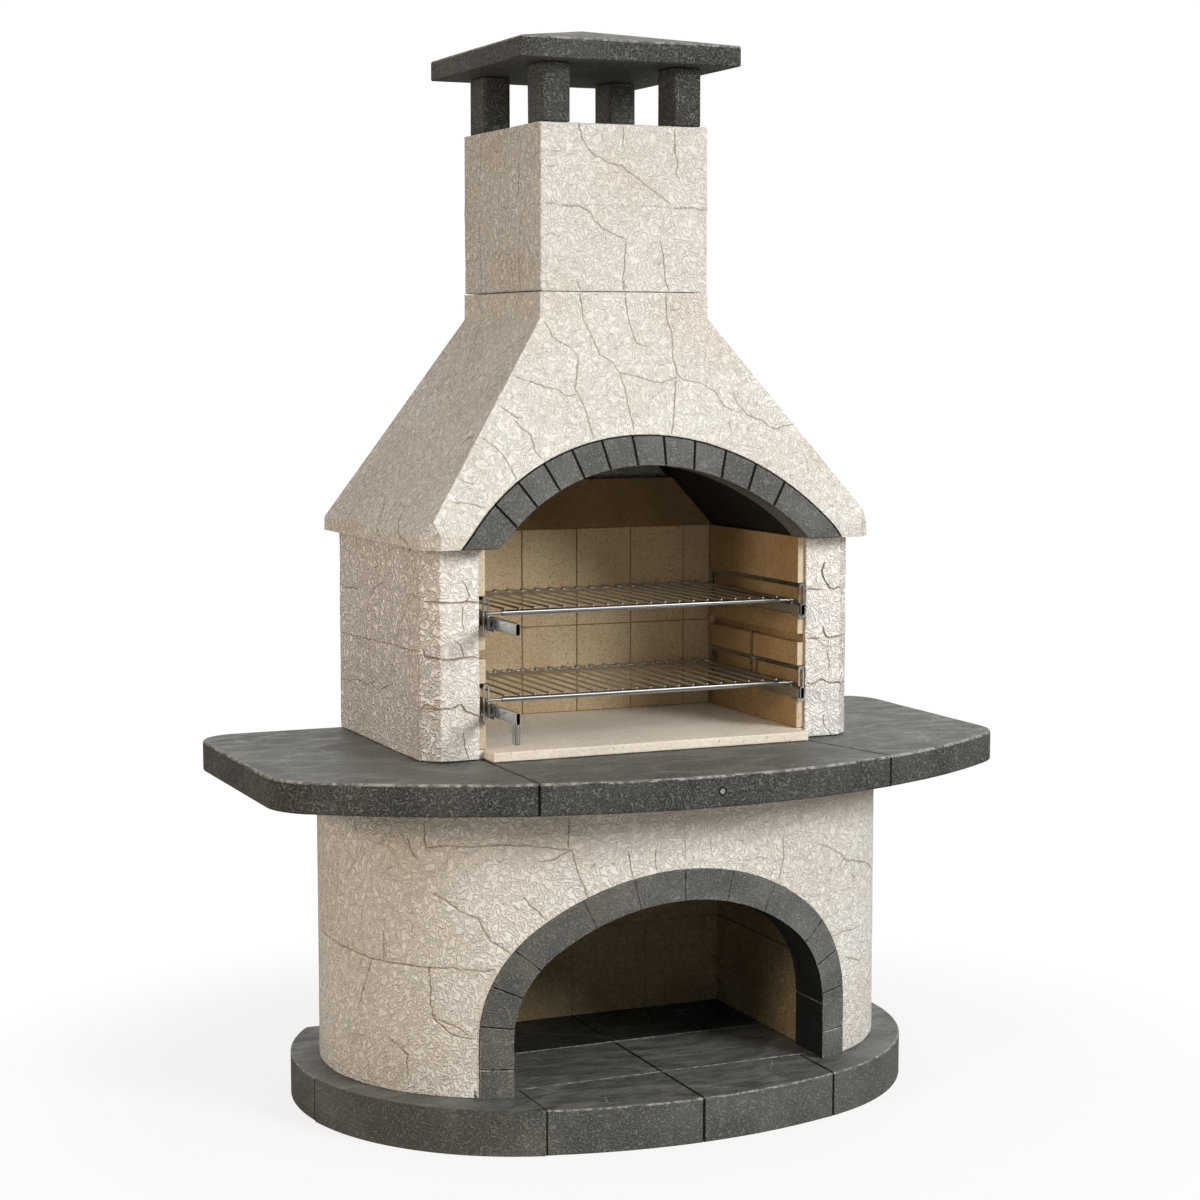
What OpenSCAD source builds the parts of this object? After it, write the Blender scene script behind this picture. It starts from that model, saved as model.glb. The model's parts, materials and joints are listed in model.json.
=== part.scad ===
// Outdoor masonry barbecue: cast base with a wood bay, stone worktop, firebrick hearth,
// hood with a voussoir arch, chimney rings with an open cap, and two sliding grills.
// Millimetres, +Z up, the front faces -Y. Depths are measured forward from the flat back.

/* [Plinth] */
// Height of the plinth slabs
plinth_h = 88; // [60:1:120]
// Half of the plinth's width at its widest
plinth_half_w = 646; // [625:1:700]
// How far the plinth's front reaches from the back plane
plinth_reach = 790; // [770:1:830]
// Radius of the plinth's side arcs
plinth_side_r = 472; // [450:1:485]
// Depth at which the plinth is widest
plinth_wide_d = 290; // [280:1:305]
// Distance of the two outer front joints from the middle
plinth_joint_x = 306; // [280:1:330]
// Depth of the joint behind the front row of slabs
plinth_front_joint_d = 599; // [580:1:620]
// Depth of the joint between the middle and the rear row of slabs
plinth_rear_joint_d = 365; // [340:1:390]
// How far the bay tiles run under the bay's walls
bay_tile_under = 14; // [5:1:30]

/* [Base walls] */
// Height of the base walls, from plinth to worktop
base_h = 571; // [540:1:620]
// Half of the width over the curved base walls
base_half_w = 592; // [580:1:605]
// How far the curved front wall reaches from the back plane
base_reach = 702; // [695:1:715]
// Radius of the base wall's side arcs
base_side_r = 364; // [350:1:375]
// Depth at which the base walls are widest
base_wide_d = 297; // [285:1:310]
// Thickness of the curved base walls
base_wall_t = 60; // [45:1:70]
// Depth of the upright joint between the rear and front wall castings
base_joint_d = 328; // [300:1:350]

/* [Base arch] */
// Half of the width over the arch legs
arch_half_w = 393; // [385:1:400]
// Rise of the arch's outer line above its springing
arch_rise = 313; // [300:1:330]
// Height of the springing above the plinth
arch_leg_h = 112; // [90:1:130]
// Radius of the arch's outer side arcs
arch_side_r = 270; // [255:1:285]
// Width of the arch stones seen from the front
arch_ring_w = 60; // [50:1:70]
// Depth of the arch stones through the wall
arch_depth = 105; // [90:1:115]
// How far the arch stones stand proud of the wall
arch_proud = 3; // [1:0.5:6]
// Angle between the moulded joints round the arch's crown
arch_groove_step = 13; // [10:0.5:14]
// Angle of the first moulded joint round the arch's shoulder, from upright
arch_shoulder_from = 50; // [40:1:55]
// Angle between the moulded joints round the arch's shoulder
arch_shoulder_step = 17; // [12:1:18]

/* [Wood bay] */
// Half of the inner width of the wood bay
bay_half_w = 345; // [335:1:350]
// Thickness of the bay's side and back walls
bay_wall_t = 58; // [45:1:65]
// Depth of the bay's back wall face
bay_back_d = 145; // [120:1:160]
// Height of one block course in the bay
bay_course_h = 190; // [150:1:220]
// Length of one block in the bay's back wall
bay_block_w = 172; // [140:1:200]

/* [Moulded joints] */
// Width of the joints moulded in the castings
groove_w = 4; // [2:0.5:6]
// Depth of the joints moulded in the castings
groove_depth = 2; // [1:0.5:3]

/* [Worktop] */
// Thickness of the worktop slabs
worktop_t = 62; // [45:1:75]
// Half of the worktop's width
worktop_half_w = 777; // [760:1:800]
// How far the worktop's front reaches from the back plane
worktop_reach = 858; // [840:1:890]
// Radius of the worktop's front curve
worktop_front_r = 1220; // [1150:5:1300]
// Radius of the two front corners
worktop_corner_r = 120; // [90:1:140]
// Radius of the two rear corners
worktop_rear_r = 85; // [50:1:110]
// Distance of the worktop joints from the middle
worktop_joint_x = 345; // [330:1:360]
// Angle at which the left worktop joint turns outward in front of the hearth
worktop_splay_left = 0; // [0:1:20]
// Angle at which the right worktop joint turns outward in front of the hearth
worktop_splay_right = 14; // [0:1:20]
// Radius of the fixing screw's head in the front edge
screw_head_r = 5; // [4:0.5:7]
// Radius of the fixing screw's shank
screw_shank_r = 3; // [2:0.5:4]
// Length of the fixing screw
screw_len = 40; // [30:1:60]
// Distance of the screw from the middle, to the right
screw_x = 2; // [0:1:40]
// Width of the slot in the screw's head
screw_slot_w = 1.2; // [0.8:0.1:2]
// Depth of the slot in the screw's head
screw_slot_depth = 1; // [0.5:0.1:1.5]

/* [Firebox] */
// Height of the firebox walls above the worktop
firebox_h = 409; // [405:1:430]
// Half of the width over the firebox side walls
wall_half_w = 464; // [455:1:475]
// Depth of the firebox side walls
wall_depth = 528; // [515:1:540]
// Half of the width between the front lips of the side walls
mouth_half_w = 351; // [348:1:353]
// Chamfer on the side walls' front corners
wall_chamfer = 33; // [20:1:40]
// Depth of the front lip that holds each lining panel
wall_lip_d = 8; // [5:1:12]
// Number of block courses moulded in each side wall
wall_courses = 4; // [3:1:5]
// Thickness of the rear wall
rear_wall_t = 90; // [70:1:95]
// Thickness of the hearth slab
hearth_t = 20; // [15:1:30]
// Half of the width of the hearth slab's front tongue
hearth_half_w = 341; // [330:1:347]
// How far the hearth slab stands in front of the side walls
hearth_proud = 39; // [25:1:50]

/* [Firebrick lining] */
// Thickness of the side lining panels
liner_t = 26; // [22:1:32]
// Thickness of the firebricks on the back
brick_t = 30; // [25:1:40]
// Nominal width of one back firebrick
brick_w = 125; // [110:1:140]
// How far the upright brick joints lie to the right of the middle
brick_shift = 24; // [0:1:40]
// Height of the lower brick course
brick_lower_h = 184; // [170:1:200]
// Height of the sloping top brick
brick_top_h = 104; // [90:1:120]
// Run of the top brick's slanted ends for each unit of height
smoke_slope = 0.923; // [0.8:0.01:1]
// How far the top brick reaches past the panels' faces at its foot
top_brick_over = 6; // [2:1:9]
// Room over the top brick, below the hood's rear wall
top_brick_room = 10; // [5:1:20]
// Chamfer round each firebrick's face
brick_chamfer = 1.5; // [0.5:0.5:3]
// Depth of the slots cut in the side panels
slot_depth = 14; // [12:1:16]
// Height of the upper and lower carrier slots
slot_h = 60; // [58:1:64]
// Height of the narrow middle slot
mid_slot_h = 16; // [12:1:20]

/* [Hood] */
// Height of the hood's upright lip
lip_h = 28; // [20:1:36]
// Height of the hood's sloping part
hood_slope_h = 410; // [380:1:430]
// Height of the hood's upright neck
neck_h = 51; // [40:1:70]
// Half of the width over the hood's lip
lip_half_w = 480; // [472:1:490]
// How far the lip's front reaches from the back plane
lip_reach = 579; // [570:1:590]
// How far the lip overhangs the back plane
lip_rear = 45; // [30:1:55]
// Chamfer on the lip's front corners
lip_chamfer = 31; // [15:1:40]
// Thickness of the hood's sides, measured level
hood_side_t = 70; // [60:1:72]
// Thickness of the hood's front, measured level
hood_front_t = 75; // [60:1:90]
// Radius of the hood arch's outer line
voussoir_r = 500; // [490:1:502]
// Width of the voussoirs seen from the front
voussoir_w = 60; // [50:1:65]
// Height of the arch centre below the hood's bottom
voussoir_drop = 290; // [288:1:300]
// Number of equal voussoirs between the two foot stones
voussoir_count = 10; // [8:1:12]
// Angle taken by one voussoir
voussoir_step = 7.75; // [6:0.25:8]
// Angle of the first joint, left of the middle
voussoir_first = 41.5; // [38:0.5:44]
// Thickness of the smoke guide plates
smoke_plate_t = 25; // [18:1:30]
// Half of the width left open between the smoke guide plates
smoke_gap_half = 137; // [120:1:150]

/* [Chimney] */
// Half of the chimney's width
chimney_half_w = 182; // [170:1:195]
// Depth of the chimney
chimney_depth = 420; // [400:1:440]
// Thickness of the chimney rings' walls
chimney_wall_t = 45; // [35:1:55]
// Height of the lower chimney ring
ring_lower_h = 168; // [140:1:200]
// Height of the upper chimney ring
ring_upper_h = 160; // [140:1:200]

/* [Cap] */
// Width of a cap post
post_w = 61; // [50:1:70]
// Depth of a cap post
post_d = 84; // [60:1:100]
// Height of the cap posts
post_h = 116; // [90:1:140]
// Inset of the posts from the chimney's faces
post_inset = 10; // [5:1:15]
// Chamfer on the posts' upright edges
post_chamfer = 5; // [3:1:8]
// Side overhang of the cap slab
cap_over = 54; // [40:1:65]
// Front overhang of the cap slab
cap_over_front = 38; // [30:1:60]
// Rear overhang of the cap slab
cap_over_rear = 50; // [40:1:60]
// Thickness of the cap slab at its edge
cap_t = 41; // [30:1:50]
// Rise of the cap slab's shallow roof
cap_rise = 46; // [30:1:60]

/* [Grills] */
// Height of the lower carrier slot's floor above the worktop
lower_slot_z = 87; // [84:1:90]
// Height from the lower to the upper carrier slot
level_pitch = 168; // [164:1:172]
// Height from the lower carrier slot's floor to the middle slot's floor
mid_slot_rise = 108; // [104:1:112]
// Diameter of the cross rods
rod_dia = 6; // [5.8:0.1:7]
// Diameter of the side wires that ride on the rails
side_wire_dia = 5.5; // [4.5:0.1:5.6]
// Diameter of the grill wires
wire_dia = 5; // [4:0.5:6]
// Outer diameter of the front tube
tube_dia = 11; // [9:0.5:12]
// Wall of the front tube
tube_wall = 1.5; // [1:0.1:2]
// Half of the front tube's length
tube_half_l = 300; // [280:1:305]
// Distance between grill wires
wire_pitch = 31; // [24:1:40]
// Depth of a grill from front tube to rear rod
grill_depth = 372; // [340:1:380]
// How far the cross rods run past the side wires
rod_over = 2; // [1:0.5:2.5]
// Depth to which crossing wires are fused at their welds
weld_depth = 0.6; // [0.4:0.1:1]
// How far the front tube lies behind the side walls' front
tube_back = 20; // [10:1:30]
// Width of a rest rail's flattened tube
rail_w = 10; // [8:1:12]
// Height of a rest rail's flattened tube
rail_h = 25; // [22:1:28]
// Wall of the rest rail's tube
rail_wall = 1.6; // [1.2:0.1:2.5]
// Length of a rest rail
rail_len = 380; // [350:1:384]
// Height of the rest rails' top above the slot's floor
rail_top_rise = 22.5; // [20:0.5:25]
// How far a pushed-in rail stands in front of its guide
rail_nose = 5; // [3:0.5:12]
// How far a rail draws out of its guides
rail_travel = 100; // [85:1:110]
// Length of the drop grip under the lower left rail
grip_len = 42; // [30:1:50]
// Depth of the drop grip
grip_d = 26; // [20:1:30]
// Width of the front hanger loop
loop_w = 13; // [12:0.5:14]
// Width of the slot in the hanger loop
loop_slot_w = 6; // [4:0.5:6]
// How far the hanger loop drops below the slot's floor
loop_drop = 13; // [10:1:16]
// Thickness of the hanger loop and the tabs
loop_t = 3; // [2:0.5:4]
// Thickness of the flat runner on the slot's floor
runner_t = 4; // [3:0.5:5]
// Height of the bar under the slot's ceiling
top_bar_h = 8; // [6:0.5:10]
// Width of the carrier's bars
bar_w = 7; // [6.5:0.5:8]
// How far the carrier's bars lie behind the panel's face
bar_inset = 0.5; // [0.3:0.1:1]
// Room between the carrier's rear bar and the back firebricks
rear_stop_gap = 3; // [2:0.5:6]
// Wall of the rail guides
guide_wall = 2.2; // [1.8:0.1:3]
// Length of the front rail guide
guide_len = 26; // [20:1:30]
// Depth behind the walls' front at which the middle guide stands
mid_guide_back = 192; // [180:1:200]
// Length of the middle rail guide
mid_guide_len = 16; // [12:1:20]

/* [Clearances] */
// Open joint between neighbouring castings
joint = 0.8; // [0.4:0.1:0.9]
// Running clearance between sliding pieces
run_gap = 0.3; // [0.25:0.05:0.5]
// Side clearance of a rail in its guide
guide_gap = 0.5; // [0.3:0.1:0.8]
// Room between a rail guide and the lining panel
guide_side_gap = 1.75; // [1:0.25:2.5]
// Clearance round the fixing screw
screw_gap = 0.2; // [0.1:0.05:0.4]

/* [Hidden] */

$fn = 96;
stone = "#cfc6b4";
slate = "#4a4c4e";
brick = "#c0a27c";
steel = "#c4c7ca";
soot = "#3a3a3a";

// Levels, from the ground up
base_z = plinth_h;
worktop_z = base_z + base_h;
worktop_top = worktop_z + worktop_t;
hearth_top = worktop_top + hearth_t;
hood_z = worktop_top + firebox_h;
slope_z = hood_z + lip_h;
neck_z = slope_z + hood_slope_h;
ring_lower_z = neck_z + neck_h;
ring_upper_z = ring_lower_z + ring_lower_h;
post_z = ring_upper_z + ring_upper_h;
cap_z = post_z + post_h;
springing_z = base_z + arch_leg_h;

// The back plane stands where it centres the whole depth on Y = 0
back_y = (worktop_reach - cap_over_rear) / 2;
far = 3000;

// Neighbouring arcs cross by this much, so that their joint is a clear corner
arc_cross = 0.12;

// Faces of the lining
lining_front_d = wall_depth - wall_lip_d;
panel_half_w = mouth_half_w + liner_t - slot_depth;
panel_inner = panel_half_w - liner_t;
hearth_front_d = wall_depth + hearth_proud;
lining_back_d = rear_wall_t + brick_t;
lower_z = worktop_top + lower_slot_z;
upper_z = lower_z + level_pitch;
mid_slot_z = lower_z + mid_slot_rise;

// A plan drawing, with depth forward from the back plane, raised from z0 by h
module plan(z0, h) {
  translate([0, back_y, z0]) mirror([0, 1, 0]) linear_extrude(h) children();
}

// A front view, pulled from depth d0 forward to depth d1
module front_view(d0, d1) {
  translate([0, back_y - d0, 0]) rotate([90, 0, 0]) linear_extrude(d1 - d0) children();
}

// A side view in depth and height, pulled along X from x0 to x1
module side_view(x0, x1) {
  translate([x0, back_y, 0]) mirror([0, 1, 0]) rotate([90, 0, 90]) linear_extrude(x1 - x0) children();
}

// A block between two widths, two depths and two heights
module block(x0, x1, d0, d1, z0, z1) {
  translate([x0, back_y - d1, z0]) cube([x1 - x0, d1 - d0, z1 - z0]);
}

// The same piece on the left (side = -1) or the right (side = 1)
module on_side(side) {
  mirror([side < 0 ? 1 : 0, 0, 0]) children();
}

// Plan of three tangent arcs with a flat back, drawn inward by inset
module oval(half_w, reach, side_r, wide_d, inset) {
  side_x = half_w - side_r;
  rise = reach - wide_d;
  front_r = (rise * rise + side_x * side_x - side_r * side_r) / (2 * (rise - side_r));
  tangent_x = (front_r - inset) * side_x / (front_r - side_r);
  intersection() {
    translate([-far / 2, 0]) square(far);
    union() {
      translate([side_x, wide_d]) circle(side_r - inset, $fn = 240);
      translate([-side_x, wide_d]) circle(side_r - inset, $fn = 240);
      translate([-side_x, wide_d - side_r + inset]) square([2 * side_x, side_r]);
      intersection() {
        translate([0, reach - front_r - arc_cross]) circle(front_r - inset, $fn = 360);
        translate([-tangent_x, wide_d]) square([2 * tangent_x, far]);
      }
    }
  }
}

module plinth_plan(inset = 0) {
  oval(plinth_half_w, plinth_reach, plinth_side_r, plinth_wide_d, inset);
}

module base_plan(inset = 0) {
  oval(base_half_w, base_reach, base_side_r, base_wide_d, inset);
}

// Front view of the round basket arch, inset from its outer line
module basket(inset) {
  a = arch_half_w;
  b = arch_rise;
  r = arch_side_r;
  crown_r = ((a - r) * (a - r) + b * b - r * r) / (2 * (b - r));
  half_x = (crown_r - inset) * (a - r) / (crown_r - r);
  translate([0, springing_z]) {
    intersection() {
      union() {
        translate([a - r, 0]) circle(r - inset);
        translate([r - a, 0]) circle(r - inset);
        intersection() {
          translate([0, b - crown_r - arc_cross]) circle(crown_r - inset, $fn = 240);
          translate([-half_x, 0]) square([2 * half_x, far]);
        }
      }
      translate([-far / 2, 0]) square(far);
    }
    translate([inset - a, -arch_leg_h]) square([2 * (a - inset), arch_leg_h]);
  }
}

// Plinth slabs: a centre strip of tiles inside the bay, and curved slabs round it
bay_tile_half_w = bay_half_w + bay_tile_under;

module plinth_slab(x0, x1, d0, d1) {
  intersection() {
    plan(0, plinth_h) plinth_plan();
    block(x0, x1, d0, d1, 0, plinth_h);
  }
}

module plinth_front(side) {
  color(slate) on_side(side)
    plinth_slab(joint / 2, plinth_joint_x - joint / 2, plinth_front_joint_d + joint / 2, far);
}

module plinth_side(side) {
  color(slate) on_side(side) {
    plinth_slab(plinth_joint_x + joint / 2, far, plinth_front_joint_d, far);
    plinth_slab(bay_tile_half_w + joint / 2, far, plinth_rear_joint_d + joint / 2, far);
  }
}

module plinth_rear(side) {
  color(slate) on_side(side)
    plinth_slab(bay_tile_half_w + joint / 2, far, 0, plinth_rear_joint_d - joint / 2);
}

module bay_tile(side, d0, d1) {
  color(slate) on_side(side)
    plinth_slab(joint / 2, bay_tile_half_w - joint / 2, d0 + joint / 2, d1 - joint / 2);
}

// Curved walls: a shell that follows the base plan, open where the arch stands
module base_shell() {
  difference() {
    plan(base_z, base_h) difference() {
      base_plan();
      base_plan(base_wall_t);
    }
    front_view(arch_cut_d, far) basket(-joint / 2);
  }
}
arch_cut_d = wall_depth - base_wall_t;

module base_wall_front(side) {
  color(stone) on_side(side) intersection() {
    base_shell();
    block(joint / 2, far, base_joint_d + joint / 2, far, base_z, worktop_z);
  }
}

module base_wall_rear(side) {
  color(stone) on_side(side) intersection() {
    base_shell();
    block(joint / 2, far, 0, base_joint_d - joint / 2, base_z, worktop_z);
  }
}

// Arch stones: a ring through the wall, with moulded joints on its face
module arch_ring() {
  intersection() {
    difference() {
      front_view(wall_depth, far) difference() {
        basket(joint / 2);
        basket(arch_ring_w);
      }
      for (i = [-2:2]) arch_groove(0, arch_rise - crown_centre_r, i * arch_groove_step);
      for (i = [0:2]) {
        angle = arch_shoulder_from + i * arch_shoulder_step;
        arch_groove(arch_half_w - arch_side_r, 0, angle);
        arch_groove(arch_side_r - arch_half_w, 0, -angle);
      }
      leg_groove();
    }
    plan(base_z, base_h) base_plan(-arch_proud);
  }
}
crown_centre_r = (pow(arch_half_w - arch_side_r, 2) + arch_rise * arch_rise - arch_side_r * arch_side_r)
  / (2 * (arch_rise - arch_side_r));

// The moulded joint half way up each leg
module leg_groove() {
  z = springing_z - arch_leg_h / 2;
  difference() {
    block(-far / 2, far / 2, wall_depth, far, z - groove_w / 2, z + groove_w / 2);
    plan(0, worktop_z) base_plan(groove_depth - arch_proud);
  }
}

// One moulded joint, cut into the face along a radius at the given angle from upright
module arch_groove(cx, cz, angle) {
  difference() {
    front_view(wall_depth, far) translate([cx, springing_z + cz]) rotate(-angle)
      translate([-groove_w / 2, 0]) square([groove_w, 2 * arch_half_w]);
    plan(0, worktop_z) base_plan(groove_depth - arch_proud);
  }
}

module arch_leg(side) {
  color(slate) on_side(side) intersection() {
    arch_ring();
    arch_back_cut();
    block(joint / 2, far, wall_depth, far, base_z, springing_z - joint / 2);
  }
}

module arch_quadrant(side) {
  color(slate) on_side(side) intersection() {
    arch_ring();
    arch_back_cut();
    block(joint / 2, far, wall_depth, far, springing_z + joint / 2, worktop_z);
  }
}

// The arch stones' back follows the wall at their own depth
module arch_back_cut() {
  difference() {
    block(-far / 2, far / 2, wall_depth + joint, far, 0, worktop_z);
    plan(0, worktop_z) base_plan(arch_depth);
  }
}

// Bay lining, with moulded block joints
module bay_side(side) {
  color(stone) on_side(side) difference() {
    block(bay_half_w, bay_half_w + bay_wall_t, bay_back_d, wall_depth, base_z, worktop_z);
    for (i = [1:2]) block(0, bay_half_w + groove_depth, 0, far,
      base_z + i * bay_course_h - groove_w / 2, base_z + i * bay_course_h + groove_w / 2);
  }
}

module bay_back() {
  color(stone) difference() {
    block(-bay_half_w - bay_wall_t, bay_half_w + bay_wall_t, bay_back_d - bay_wall_t, bay_back_d,
      base_z, worktop_z);
    for (i = [1:2]) block(-bay_half_w, bay_half_w, bay_back_d - groove_depth, far,
      base_z + i * bay_course_h - groove_w / 2, base_z + i * bay_course_h + groove_w / 2);
    for (x = [-bay_block_w, 0, bay_block_w]) block(x - groove_w / 2, x + groove_w / 2,
      bay_back_d - groove_depth, far, base_z, base_z + bay_course_h);
  }
}

// Worktop plan: a wide front curve with rounded front and rear corners
module worktop_plan() {
  centre_d = worktop_reach - worktop_front_r;
  corner_x = worktop_half_w - worktop_corner_r;
  corner_d = arc_cross + centre_d + sqrt(pow(worktop_front_r - worktop_corner_r, 2) - corner_x * corner_x);
  tangent_x = worktop_front_r * corner_x / (worktop_front_r - worktop_corner_r);
  rear_x = worktop_half_w - worktop_rear_r;
  intersection() {
    translate([0, centre_d]) circle(worktop_front_r, $fn = 360);
    translate([-tangent_x, worktop_rear_r]) square([2 * tangent_x, far]);
  }
  for (side = [-1, 1]) {
    translate([side * corner_x, corner_d]) circle(worktop_corner_r);
    translate([side * rear_x, worktop_rear_r]) circle(worktop_rear_r);
  }
  translate([-worktop_half_w, worktop_rear_r]) square([2 * worktop_half_w, corner_d - worktop_rear_r]);
  translate([-rear_x, 0]) square([2 * rear_x, 2 * worktop_rear_r]);
}

// Plan of all that lies outside one joint, which turns outward in front of the hearth
module beyond_joint(splay, gap) {
  x = worktop_joint_x + gap;
  polygon([
    [x, -1], [far, -1], [far, far], [x + (far - hearth_front_d) * tan(splay), far], [x, hearth_front_d]
  ]);
}

module worktop_outer(side, splay) {
  color(slate) on_side(side) plan(worktop_z, worktop_t) intersection() {
    worktop_plan();
    beyond_joint(splay, joint / 2);
  }
}

module worktop_centre() {
  color(slate) difference() {
    plan(worktop_z, worktop_t) difference() {
      worktop_plan();
      beyond_joint(worktop_splay_right, -joint / 2);
      mirror([1, 0]) beyond_joint(worktop_splay_left, -joint / 2);
    }
    screw_shape(screw_gap);
  }
}

// The screw's shank lies in a drilled hole and its head in a counterbore, on the front edge
module screw_shape(gap) {
  head_t = screw_shank_r;
  translate([screw_x, back_y - worktop_reach, worktop_z + worktop_t / 2]) rotate([-90, 0, 0]) {
    translate([0, 0, -gap]) cylinder(r = screw_head_r + gap, h = head_t + 2 * gap, $fn = 32);
    cylinder(r = screw_shank_r + gap, h = screw_len + gap, $fn = 32);
  }
}

module worktop_screw() {
  color(steel) difference() {
    screw_shape(0);
    translate([screw_x - screw_head_r, back_y - worktop_reach - 1, worktop_z + (worktop_t - screw_slot_w) / 2])
      cube([2 * screw_head_r, 1 + screw_slot_depth, screw_slot_w]);
  }
}

// Hearth slab: a tongue between the walls' lips, and full width under the lining
module hearth_slab() {
  color(brick) {
    block(-hearth_half_w, hearth_half_w, lining_back_d, hearth_front_d, worktop_top, hearth_top);
    block(joint / 2 - panel_half_w, panel_half_w - joint / 2, rear_wall_t, lining_front_d - joint / 2,
      worktop_top, hearth_top);
  }
}

// Side wall, with moulded courses round its outer faces
module firebox_wall(side) {
  color(stone) on_side(side) difference() {
    plan(worktop_top, firebox_h) polygon([
      [mouth_half_w, wall_depth], [wall_half_w - wall_chamfer, wall_depth],
      [wall_half_w, wall_depth - wall_chamfer], [wall_half_w, 0],
      [panel_half_w, 0], [panel_half_w, lining_front_d], [mouth_half_w, lining_front_d]
    ]);
    for (i = [1:wall_courses - 1])
      wall_groove(worktop_top + i * firebox_h / wall_courses);
  }
}

module wall_groove(z) {
  inner = wall_half_w - groove_depth;
  plan(z - groove_w / 2, groove_w) difference() {
    translate([mouth_half_w, 0]) square([far, far]);
    polygon([
      [0, wall_depth - groove_depth], [inner - wall_chamfer, wall_depth - groove_depth],
      [inner, wall_depth - groove_depth - wall_chamfer], [inner, -1], [0, -1]
    ]);
  }
}

module firebox_rear_wall() {
  color(stone) block(joint / 2 - panel_half_w, panel_half_w - joint / 2, 0, rear_wall_t,
    worktop_top, hood_z);
}

// Lining panel with two tall carrier slots and one narrow slot between them
module lining_panel(side) {
  color(brick) on_side(side) difference() {
    block(panel_inner, panel_half_w, rear_wall_t, lining_front_d, hearth_top, hood_z);
    panel_slot(lower_z, slot_h);
    panel_slot(mid_slot_z, mid_slot_h);
    panel_slot(upper_z, slot_h);
  }
}

module panel_slot(z, h) {
  block(0, panel_inner + slot_depth, lining_back_d, far, z, z + h);
}

// Back firebricks, whole ones in the middle and cut ones at both ends
brick_face_half = panel_inner - joint / 2;
brick_left = -floor((brick_face_half + brick_shift - joint) / brick_w);
brick_right = floor((brick_face_half - brick_shift - joint) / brick_w);

module firebrick(x0, x1, z0, z1) {
  c = brick_chamfer;
  intersection() {
    front_view(rear_wall_t, lining_back_d) translate([x0, z0]) square([x1 - x0, z1 - z0]);
    plan(z0, z1 - z0) polygon([
      [x0, rear_wall_t], [x1, rear_wall_t], [x1, lining_back_d - c],
      [x1 - c, lining_back_d], [x0 + c, lining_back_d], [x0, lining_back_d - c]
    ]);
    side_view(x0, x1) polygon([
      [rear_wall_t, z0], [rear_wall_t, z1], [lining_back_d - c, z1],
      [lining_back_d, z1 - c], [lining_back_d, z0 + c], [lining_back_d - c, z0]
    ]);
  }
}

module brick_course(z0, z1) {
  for (i = [brick_left - 1:brick_right]) {
    x0 = i < brick_left ? -brick_face_half : brick_shift + i * brick_w;
    x1 = i == brick_right ? brick_face_half : brick_shift + (i + 1) * brick_w;
    firebrick(x0 + joint / 2, x1 - joint / 2, z0, z1);
  }
}

module lining_bricks_lower() {
  color(brick) brick_course(hearth_top, hearth_top + brick_lower_h - joint / 2);
}

module lining_bricks_upper() {
  color(brick) brick_course(hearth_top + brick_lower_h, hood_z);
}

module lining_top_brick() {
  half = panel_inner + top_brick_over;
  top = half - smoke_slope * brick_top_h;
  color(brick) front_view(rear_wall_t, lining_back_d) polygon([
    [-half, hood_z], [half, hood_z], [top, hood_z + brick_top_h], [-top, hood_z + brick_top_h]
  ]);
}

// Hood: the front view and the side view of the sloping shell, pulled through each other
hood_top_z = ring_lower_z;
side_run = lip_half_w - chimney_half_w;
front_run = lip_reach - chimney_depth;
flue_half_w = chimney_half_w - chimney_wall_t;
flue_front_d = chimney_depth - chimney_wall_t;
cavity_half_w = lip_half_w - hood_side_t;
cavity_front_d = lip_reach - hood_front_t;

module hood_outside() {
  intersection() {
    front_view(-far / 2, far) polygon([
      [-lip_half_w, hood_z], [lip_half_w, hood_z], [lip_half_w, slope_z], [chimney_half_w, neck_z],
      [chimney_half_w, hood_top_z], [-chimney_half_w, hood_top_z], [-chimney_half_w, neck_z],
      [-lip_half_w, slope_z]
    ]);
    side_view(-lip_half_w, lip_half_w) polygon([
      [lip_reach, hood_z], [lip_reach, slope_z], [chimney_depth, neck_z], [chimney_depth, hood_top_z],
      [0, hood_top_z], [0, neck_z], [-lip_rear, slope_z], [-lip_rear, hood_z]
    ]);
    plan(hood_z, far) polygon([
      [-lip_half_w, -lip_rear], [lip_half_w, -lip_rear], [lip_half_w, lip_reach - lip_chamfer],
      [lip_half_w - lip_chamfer, lip_reach], [lip_chamfer - lip_half_w, lip_reach],
      [-lip_half_w, lip_reach - lip_chamfer]
    ]);
  }
}

module hood_cavity() {
  side_z = slope_z + (cavity_half_w - flue_half_w) * hood_slope_h / side_run;
  front_z = slope_z + (cavity_front_d - flue_front_d) * hood_slope_h / front_run;
  brick_z = hood_z + brick_top_h + top_brick_room;
  intersection() {
    front_view(-far / 2, far) polygon([
      [-cavity_half_w, hood_z - 1], [cavity_half_w, hood_z - 1], [cavity_half_w, slope_z],
      [flue_half_w, side_z], [flue_half_w, hood_top_z + 1], [-flue_half_w, hood_top_z + 1],
      [-flue_half_w, side_z], [-cavity_half_w, slope_z]
    ]);
    side_view(-lip_half_w, lip_half_w) polygon([
      [cavity_front_d, hood_z - 1], [cavity_front_d, slope_z], [flue_front_d, front_z],
      [flue_front_d, hood_top_z + 1], [chimney_wall_t, hood_top_z + 1],
      [chimney_wall_t, brick_z + rear_wall_t - chimney_wall_t], [rear_wall_t, brick_z],
      [rear_wall_t, hood_z - 1]
    ]);
  }
}

// Front view of the arch opening, grown outward by more
module hood_arch(more) {
  intersection() {
    translate([0, hood_z - voussoir_drop]) circle(voussoir_r + more, $fn = 240);
    translate([-far / 2, hood_z - 1]) square(far);
  }
}

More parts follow.
